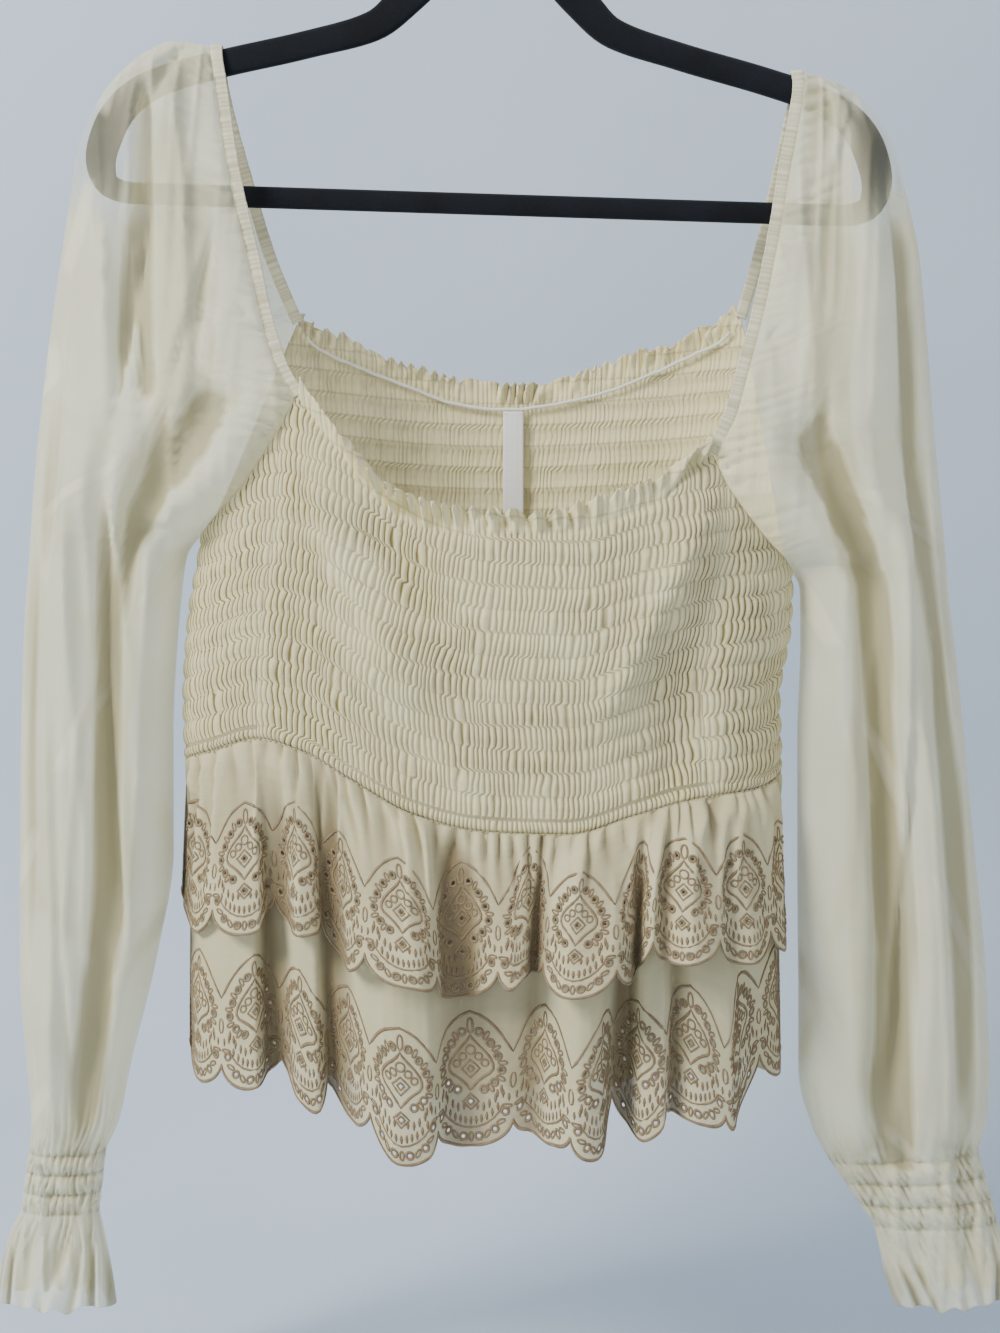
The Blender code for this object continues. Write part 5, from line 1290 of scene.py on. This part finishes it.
def tier_sheet(name, hem_rows, start, inset, seed):
    """The plain hanging sheet, bottom row first, with its flat cut from 0 to 1 as its UV map."""
    columns = SCALLOPS * COLUMNS_EACH
    hem = even(hem_rows, columns + 1)
    angles = hang_angles(hem[:, 0], start)
    side = -1.0 if start < 180 else 1.0
    calm = calmed(np.pad(hem[:, 1], FOLD_SPAN, mode="edge"), FOLD_SPAN)
    inward = np.maximum(0.0, (calm - hem[:, 1]) * side)
    hem[:, 1] -= side * HOLLOW_SHIFT * inward
    foot = waist_height(angles)
    top = bodice_point(angles, foot, -TIER_HALF_WALL - inset)
    outward = bodice_point(angles, foot, 5.0) - bodice_point(angles, foot)
    outward /= np.linalg.norm(outward, axis=1)[:, None]
    top[:, 2] -= SEAM_GAP
    drop = np.linalg.norm(hem - top, axis=1)
    border_height = np.minimum(BORDER_TOP, drop - 6.0)
    seam = lengths(top)
    ends = easing(np.minimum(seam, seam[-1] - seam) / 9.0)
    levels = np.concatenate([np.linspace(0, BORDER_TOP, 40), np.linspace(BORDER_TOP, TIER_TOP, 31)[1:]])
    rows, tones = [], []
    for level in levels:
        above = border_height + (drop - border_height) * (level - BORDER_TOP) / (TIER_TOP - BORDER_TOP)
        t = 1 - np.where(level <= BORDER_TOP, border_height * level / BORDER_TOP, above) / drop
        down = drop * t
        point = top + (hem - top) * (t ** HANG)[:, None]
        point[:, 2] = top[:, 2] + (hem[:, 2] - top[:, 2]) * t
        phase = seam / 9.0 + 0.7 * noise(seam / 19, down / 60, seed)
        strength = 1.25 + 0.9 * noise(seam / 14, 0.3, seed + 1)
        near = np.exp(-(down / 22.0) ** 1.5) * easing(down / 2.5 + 0.25)
        folds = strength * (np.abs(np.sin(np.pi * phase)) ** 0.8 - 0.6) * near * 4.2
        ridge = 1 - np.abs(noise(seam / 10 + 0.12 * down / 13, down / 80, seed + 2))
        folds = folds + 5.0 * (ridge ** 2.5 - 0.45) * np.exp(-(down / 60.0) ** 2) * easing(down / 14.0)
        crumple = 0.55 * noise(seam / 11, down / 17, seed + 3) + 0.22 * noise(seam / 5, down / 8, seed + 4)
        rows.append(point + outward * ((folds + crumple * easing(down / 20.0)) * ends)[:, None])
        # Painted shade: darker where the hem folds back into a hollow, lighter on the gathers' ridges.
        tones.append(np.clip(0.85 - 0.1 * inward * t ** 0.4 + 0.13 * folds * ends, 0.0, 1.0))
    points = np.stack(rows)
    points[:, [0, -1], 1] += side * SEAM_GAP / 2
    share = np.linspace(0, 1, columns + 1)
    uv = np.stack(np.broadcast_arrays(share[None, :], (levels / TIER_TOP)[:, None]), axis=-1) / MM
    return cloth(name, points, uv, eyelet_cotton, 0, tones=np.array(tones))


# %% Lay the border on the four hanging sheets
TIERS = [
    ("upper_front", UPPER_FRONT_HEM, 0.0, 0.0, 18), ("upper_back", UPPER_BACK_HEM, 180.0, 0.0, 18),
    ("lower_front", LOWER_FRONT_HEM, 0.0, LOWER_TIER_INSET, 36),
    ("lower_back", LOWER_BACK_HEM, 180.0, LOWER_TIER_INSET, 36),
]
tier_pieces = {}
for turn, (place_name, hem_rows, start, inset, rows_above) in enumerate(TIERS):
    pieces = []
    for kind, tile, material in (("cloth", scallop_cloth(rows_above), eyelet_cotton),
                                 ("embroidery", scallop_thread(), satin_thread)):
        piece = tier_sheet(f"{place_name}_{kind}", hem_rows, start, inset, 10 * turn + 3)
        is_cloth = kind == "cloth"
        piece.data = grown(piece, border, {"Tile": tile, "Material": material, "Flat UV": is_cloth,
                                           "Join Within": JOIN_WITHIN if is_cloth else 0.0})
        piece.modifiers.clear()
        bpy.data.objects.remove(tile)
        pieces.append(piece)
    tier_pieces[place_name] = [thicken(pieces[0], TIER_CLOTH), pieces[1]]
    print(place_name, "triangles:", [sum(len(p.vertices) - 2 for p in piece.data.polygons) for piece in pieces])

# %% [markdown]
# The hanger is a flat plastic moulding covered with short black flock. Flock has no gloss: its upright
# fibres only catch a faint light at the edges, which sheen gives. The band is swept with a rounded section,
# so that its edges shade softly, and the hook is a plated wire of one round, one shank and a domed end.

# %% Flock, steel and the hanger's body


def flock(name, colour, tip):
    material, tree, shader = finish(name, Roughness=0.95, Sheen_Weight=0.12, Sheen_Roughness=0.6,
                                    Specular_IOR_Level=0.12)
    place = node(tree, "ShaderNodeTexCoord"), "Object"
    fibres = mottle(tree, place, 1500.0, 2.0)
    handled = maths(tree, "MULTIPLY", fibres, mottle(tree, place, 35.0, 4.0))
    connect(tree, shader, Base_Color=ramp(tree, handled, (0.12, colour), (0.5, tip)),
            Normal=bump(tree, fibres, 0.5, 0.0003))
    return material


def plated(name, colour, bright):
    """Bright plated steel wire, a little rubbed."""
    material, tree, shader = finish(name, Metallic=1.0, Roughness=0.24)
    rub = mottle(tree, (node(tree, "ShaderNodeTexCoord"), "Object"), 420.0, 3.0)
    connect(tree, shader, Base_Color=ramp(tree, rub, (0.35, colour), (0.7, bright)),
            Roughness=between(tree, rub, 0.0, 1.0, 0.18, 0.34))
    return material


black_flock = flock("black nylon flock", "#05070C", "#141923")
steel = plated("plated steel wire", "#BFC1C4", "#D7D8DA")


def flocked_band():
    """The hanger's band, swept round its own middle line with a rounded section."""
    line, outward = hanger_sides(260)
    turn = np.linspace(0, 2 * np.pi, 20, endpoint=False)
    reach = signed_power(np.cos(turn), 0.35) * line[:, 2:] / 2
    x, z = tilted(line[:, :1] + outward[:, :1] * reach, line[:, 1:2] + outward[:, 1:] * reach)
    deep = HANGER_THICK / 2 * signed_power(np.sin(turn), 0.8)
    return tube("flocked_band", np.stack(np.broadcast_arrays(x, deep, z), axis=-1), black_flock, closed=True)


def wire_hook():
    """The shank, its small bend and the round, with an end that closes in a dome."""
    radius = HOOK_RADIUS + WIRE
    points = [(0.0, 0.0, HOOK_FOOT), (0.0, 0.0, -55.0), (1.0, 0.0, -51.0)]
    points += [(radius * math.cos(a), 0.0, radius * math.sin(a) - HOOK_RADIUS)
               for a in np.radians(np.arange(-62, 201, 12))]
    path = even(points, 110)
    ahead = np.gradient(path, axis=0)
    ahead /= np.linalg.norm(ahead, axis=1)[:, None]
    left = np.column_stack([ahead[:, 2], np.zeros(len(path)), -ahead[:, 0]])
    turn = -np.linspace(0, 2 * np.pi, 16, endpoint=False)[:, None]
    dome = np.maximum(0, np.arange(len(path)) - len(path) + 3) / 2.2
    reach = WIRE * np.sqrt(1 - dome ** 2)
    rings = path[:, None] + reach[:, None, None] * (np.cos(turn) * left[:, None] + np.sin(turn) * [0.0, 1.0, 0.0])
    x, z = tilted(rings[..., 0], rings[..., 2])
    return tube("wire_hook", np.stack([x, rings[..., 1], z], axis=-1), steel)


hanger_band = flocked_band()
hook = wire_hook()
print("hanger band:", len(hanger_band.data.polygons), "faces")

# %% [markdown]
# Inside the back neck a flat white elastic lies along the first thread, and a woven loop label hangs
# under it. The label is left bare. Both are small, but they are the whitest things on the blouse, so
# their crisp edges matter: the label is a folded strip with a slight curl, not a card.

# %% Elastic and bare label
ELASTIC_HEIGHT = 1.8
ELASTIC_DROP = 2.1        # below the bodice's upper edge
LABEL_WIDTH = 11.5
LABEL_LENGTH = 58.0
LABEL_X = 7.0
LABEL_ROWS = 60
LABEL_GAP = 0.62          # between its front and its back


def neck_elastic():
    angle = np.linspace(NECK_BACK[0].angle + 2.5, NECK_BACK[-1].angle - 2.5, 420)
    turn = np.linspace(0, 2 * np.pi, 12, endpoint=False)
    index = np.arange(len(angle))
    height = top_height(angle) - ELASTIC_DROP + 0.25 * noise(index / 9.0, 0.4, 61)
    inside = 3.05 + 0.45 * np.sin(turn) + 0.06 * np.sin(index * 2.1)[:, None]
    rings = bodice_point(angle[:, None], height[:, None], -inside)
    rings[..., 2] += ELASTIC_HEIGHT / 2 * signed_power(np.cos(turn), 0.6)
    return tube("white_neck_elastic", rings, tape, uv=[(0.4 * i, 0.3 * k) for i in index for k in range(len(turn))])


def bare_label():
    """A strip folded in half: down the front, round a soft fold, and up behind."""
    middle = 270.0
    for _ in range(8):
        middle += (ring(middle, -360.0)[0] - LABEL_X) * 0.35
    index = np.arange(LABEL_ROWS)
    down = np.linspace(0, LABEL_LENGTH, LABEL_ROWS)
    height = float(top_height(middle)) - 3.4 - down
    curl = 0.9 * np.sin(np.pi * down / LABEL_LENGTH) + 0.5 * (down / LABEL_LENGTH) ** 3
    y = bodice_point(middle, height, -3.3)[:, 1] - curl
    apart = LABEL_GAP * np.sin(np.pi / 2 * np.minimum(1.0, (LABEL_ROWS - 1 - index) / 4.0))
    across = np.linspace(-1, 1, 15)
    z = height[:, None] + 0.25 * across * np.sin(index / 11)[:, None]
    front, back = (np.stack(np.broadcast_arrays(LABEL_X + across * LABEL_WIDTH / 2,
                                                (y + face * apart / 2)[:, None] + 0.35 * across ** 2, z), axis=-1)
                   for face in (-1, 1))
    grid = np.concatenate([front, back[-2::-1]])
    walked = np.arange(len(grid)) * LABEL_LENGTH / (LABEL_ROWS - 1)
    uv = np.stack(np.broadcast_arrays((across * LABEL_WIDTH / 2)[None], walked[:, None]), axis=-1)
    return cloth("bare_label", grid, uv, satin_label, 0.22)


elastic = neck_elastic()
label = bare_label()
print("label:", LABEL_WIDTH, "x", LABEL_LENGTH, "mm")

# %% [markdown]
# Machine stitches repeat along a line, which is what Geometry Nodes do best: the tree below resamples a
# curve to one point for each stitch, turns a small rounded stitch along it, and makes it all one mesh. The
# same tree sews the waist seam, the bindings and the label.

# %% The stitch tree
stitching, given = node_tree("stitches along a line", [
    ("Stitch", "Object", None), ("Spacing", "Float", 0.003), ("Size", "Float", 1.0), ("Material", "Material", None)])
spaced = node(stitching, "ResampleCurve", {"Curve": (given, "Geometry"), "Length": (given, "Spacing")}, mode="LENGTH")
tangent = node(stitching, "InputTangent")
turned = node(stitching, "FunctionNodeAlignRotationToVector", {"Vector": (tangent, "Tangent")}, axis="X")
one = node(stitching, "ObjectInfo", {"Object": (given, "Stitch")})
sewn = node(stitching, "InstanceOnPoints", {"Points": (spaced, "Curve"), "Instance": (one, "Geometry"),
                                            "Rotation": (turned, "Rotation"), "Scale": (given, "Size")})
joined = node(stitching, "RealizeInstances", {"Geometry": (sewn, "Instances")})
dyed = node(stitching, "SetMaterial", {"Geometry": (joined, "Geometry"), "Material": (given, "Material")})
node(stitching, "NodeGroupOutput", {"Geometry": (dyed, "Geometry")})


def one_stitch(long, thick):
    """A rounded stitch along X: a spindle of a few faces."""
    verts, faces = [(-long / 2, 0, 0)], []
    for share, girth in ((-0.32, 0.8), (0.0, 1.0), (0.32, 0.8)):
        verts += [(long * share, thick / 2 * girth * math.cos(a), thick / 2 * girth * math.sin(a))
                  for a in np.linspace(0, 2 * np.pi, 6, endpoint=False)]
    verts.append((long / 2, 0, 0))
    faces += [(0, 1 + (k + 1) % 6, 1 + k) for k in range(6)]
    for band in (1, 7):
        faces += [(band + k, band + (k + 1) % 6, band + 6 + (k + 1) % 6, band + 6 + k) for k in range(6)]
    faces += [(19, 13 + k, 13 + (k + 1) % 6) for k in range(6)]
    return new_mesh("stitch", verts, faces, sewing_thread)


def sew(name, paths, spacing, long, thick, material):
    """Stitches along one or more runs of points in millimetres."""
    curve = bpy.data.curves.new(name, "CURVE")
    curve.dimensions = "3D"
    for path in paths:
        spline = curve.splines.new("POLY")
        spline.points.add(len(path) - 1)
        spline.points.foreach_set("co", np.column_stack([np.asarray(path) * MM, np.ones(len(path))]).ravel())
    line, stitch = placed(name + "_line", curve), one_stitch(long, thick)
    mesh = grown(line, stitching, {"Stitch": stitch, "Spacing": spacing * MM, "Material": material})
    mesh.name = name
    for spent in (line, stitch):
        bpy.data.objects.remove(spent)
    return placed(name, mesh)


# %% Sew the waist, the bindings and the label
around = np.linspace(0, 360, 900)
waist_line = bodice_point(around, waist_height(around) - 0.15, 0.55)
stitches = [sew("waist_stitches", [waist_line], 2.9, 1.9, 0.75, waist_thread_with_painted_shadow)]
for side, (line, _) in straps.items():
    point, width, up = binding_frame(line, np.linspace(0.004, 0.996, 700))
    path = point + width * (STRAPS[side].outward * BINDING_SEAM) + up * (BINDING_THICK / 2 * 0.66)
    stitches.append(sew(f"binding_{side}_stitches", [path], 2.6, 1.9, 0.45, sewing_thread))
label_points = [v.co / MM for v in label.data.vertices]
tack_height = max(p[2] for p in label_points) - 1.2
front_y = min(p[1] for p in label_points if p[2] > tack_height - 1)
tacks = [[(LABEL_X + side * 4.6 + t, front_y - 0.1, tack_height) for t in (-1.0, 0.0, 1.0)] for side in (-1, 1)]
stitches.append(sew("label_stitches", tacks, 0.9, 0.85, 0.3, sewing_thread))
print("stitches:", [len(obj.data.polygons) // 24 for obj in stitches])

# %% [markdown]
# The camera stands level with the middle of the picture, straight in front. A plain pale sheet is floor and
# backdrop in one curve. The light is soft: a wide panel high on the left as the main one, a weaker
# one on the right, and a low fill, so that the shirring and the folds are modelled by gentle shade.

# %% Camera, light and backdrop
FLOOR_Z = -0.875
VIEW_HALF_HEIGHT = 0.3605
VIEW_DISTANCE = 1.1
LAMPS = [                 # place, size, power and colour
    ("key", (-1.55, -1.2, 0.7), 0.8, 62.0, "#FFFDF6"),
    ("side", (1.5, -1.1, 0.1), 1.4, 6.0, "#F3F6FF"),
    ("top", (0.2, 0.1, 1.4), 1.6, 12.0, "#FFFFFF"),
    ("low", (0.0, -1.7, -0.65), 1.2, 4.0, "#FFFBF2"),
]


def studio():
    camera = bpy.data.cameras.new("camera")
    camera.sensor_fit = "VERTICAL"
    camera.angle = 2 * math.atan(VIEW_HALF_HEIGHT / VIEW_DISTANCE)
    eye = placed("camera", camera)
    eye.location = (-0.0005, -VIEW_DISTANCE, -0.4753)
    eye.rotation_euler = (math.radians(90), 0, 0)
    bpy.context.scene.camera = eye
    for name, place, size, power, colour in LAMPS:
        lamp = bpy.data.lights.new(name, "AREA")
        lamp.size, lamp.energy, lamp.color = size, power, srgb(colour)[:3]
        obj = placed(name, lamp)
        obj.location = place
        obj.rotation_euler = (Vector((0, 0, -0.45)) - Vector(place)).to_track_quat("-Z", "Y").to_euler()
    world = bpy.data.worlds.new("sky")
    world.use_nodes = True
    background = world.node_tree.nodes["Background"]
    background.inputs["Color"].default_value = srgb("#DDE4F0")
    background.inputs["Strength"].default_value = 0.42
    bpy.context.scene.world = world


def backdrop():
    """A floor that turns up into a wall behind, seen only from its front, so that it never hides the back."""
    paper, tree, shader = finish("pale grey backdrop paper", Roughness=0.95)
    place = node(tree, "ShaderNodeTexCoord"), "Object"
    tone = ramp(tree, mottle(tree, place, 1.4, 3.0), (0.3, "#BCCADB"), (0.7, "#CDDAE9"))
    connect(tree, shader, Base_Color=tone, Normal=bump(tree, mottle(tree, place, 260.0, 2.0), 0.08, 0.001))
    seen = node(tree, "ShaderNodeNewGeometry")
    clear = node(tree, "ShaderNodeBsdfTransparent")
    one_way = node(tree, "ShaderNodeMixShader", {"Fac": (seen, "Backfacing"), 1: (shader, "BSDF"), 2: (clear, "BSDF")})
    out = next(n for n in tree.nodes if n.type == "OUTPUT_MATERIAL")
    tree.links.new(one_way.outputs["Shader"], out.inputs["Surface"])
    curve = [(300 + 350 * math.sin(a), 350 - 350 * math.cos(a)) for a in np.linspace(0.1, math.pi / 2, 14)]
    profile = [(-2600, 0), (300, 0), *curve, (650, 2400)]
    grid = np.array([[(x, y, FLOOR_Z / MM + z) for x in np.linspace(-2600, 2600, 9)] for y, z in profile], float)
    cloth("backdrop", grid, grid[..., :2], paper, 0)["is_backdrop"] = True


studio()
backdrop()
print("camera:", bpy.context.scene.camera.location[:])

# %% [markdown]
# All the pieces belong to one body, because a blouse on its hanger has no joint. Each stands for the plain
# solid of the same part, and small work such as stitches and embroidery comes new.

# %% Hand each piece over
STANDS_FOR = [
    (bodice_front, ["bodice_front"]), (bodice_back, ["bodice_back"]),
    (bindings[0], ["neck_binding_left"]), (bindings[1], ["neck_binding_right"]),
    (sleeves[0], ["sleeve_left_head", "sleeve_left_arm", "sleeve_left_cuff"]),
    (sleeves[1], ["sleeve_right_head", "sleeve_right_arm", "sleeve_right_cuff"]),
    (hanger_band, ["hanger_frame"]), (hook, ["hanger_hook"]),
    (elastic, ["back_neck_elastic"]), (label, ["neck_label"]),
]
STANDS_FOR += [(tier_cloth, [tier.replace("_", "_tier_")]) for tier, (tier_cloth, _) in tier_pieces.items()]
for piece, nodes in STANDS_FOR:
    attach(piece, "root")
    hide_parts(*nodes)
new_work = [(piece, "embroidered eyelet cotton") for _, piece in tier_pieces.values()]
new_work += list(zip(stitches, ["shirred cream crepe", "ivory dobby voile", "ivory dobby voile", "white woven tape"]))
for piece, slot in new_work:
    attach(piece, "root")
print(len(STANDS_FOR), "pieces stand for solids and", len(new_work), "are new")

# %% [markdown]
# Cloth is cut flat and then gathered, so every piece was wider on the cutting table than it hangs. A tier
# is a straight strip as wide as its hem, drawn up at the waist. The shirring and the sleeve heads take up
# a share of their cut that the model's relief only partly shows.

# %% The fields of a cloth's cut size
Cut = namedtuple("Cut", "width length area fullness held")

# %% [markdown]
# The outside sizes of the plain solids and of the finished model are written side by side. Thread and
# relief may stand a little proud of the solids, and these numbers show how little.

# %% Compare the sizes and finish
visual_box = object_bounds()
{"cad": [list(corner) for corner in cad_box], "visual": [list(corner) for corner in visual_box]}
print("solids:", cad_box, "model:", visual_box)
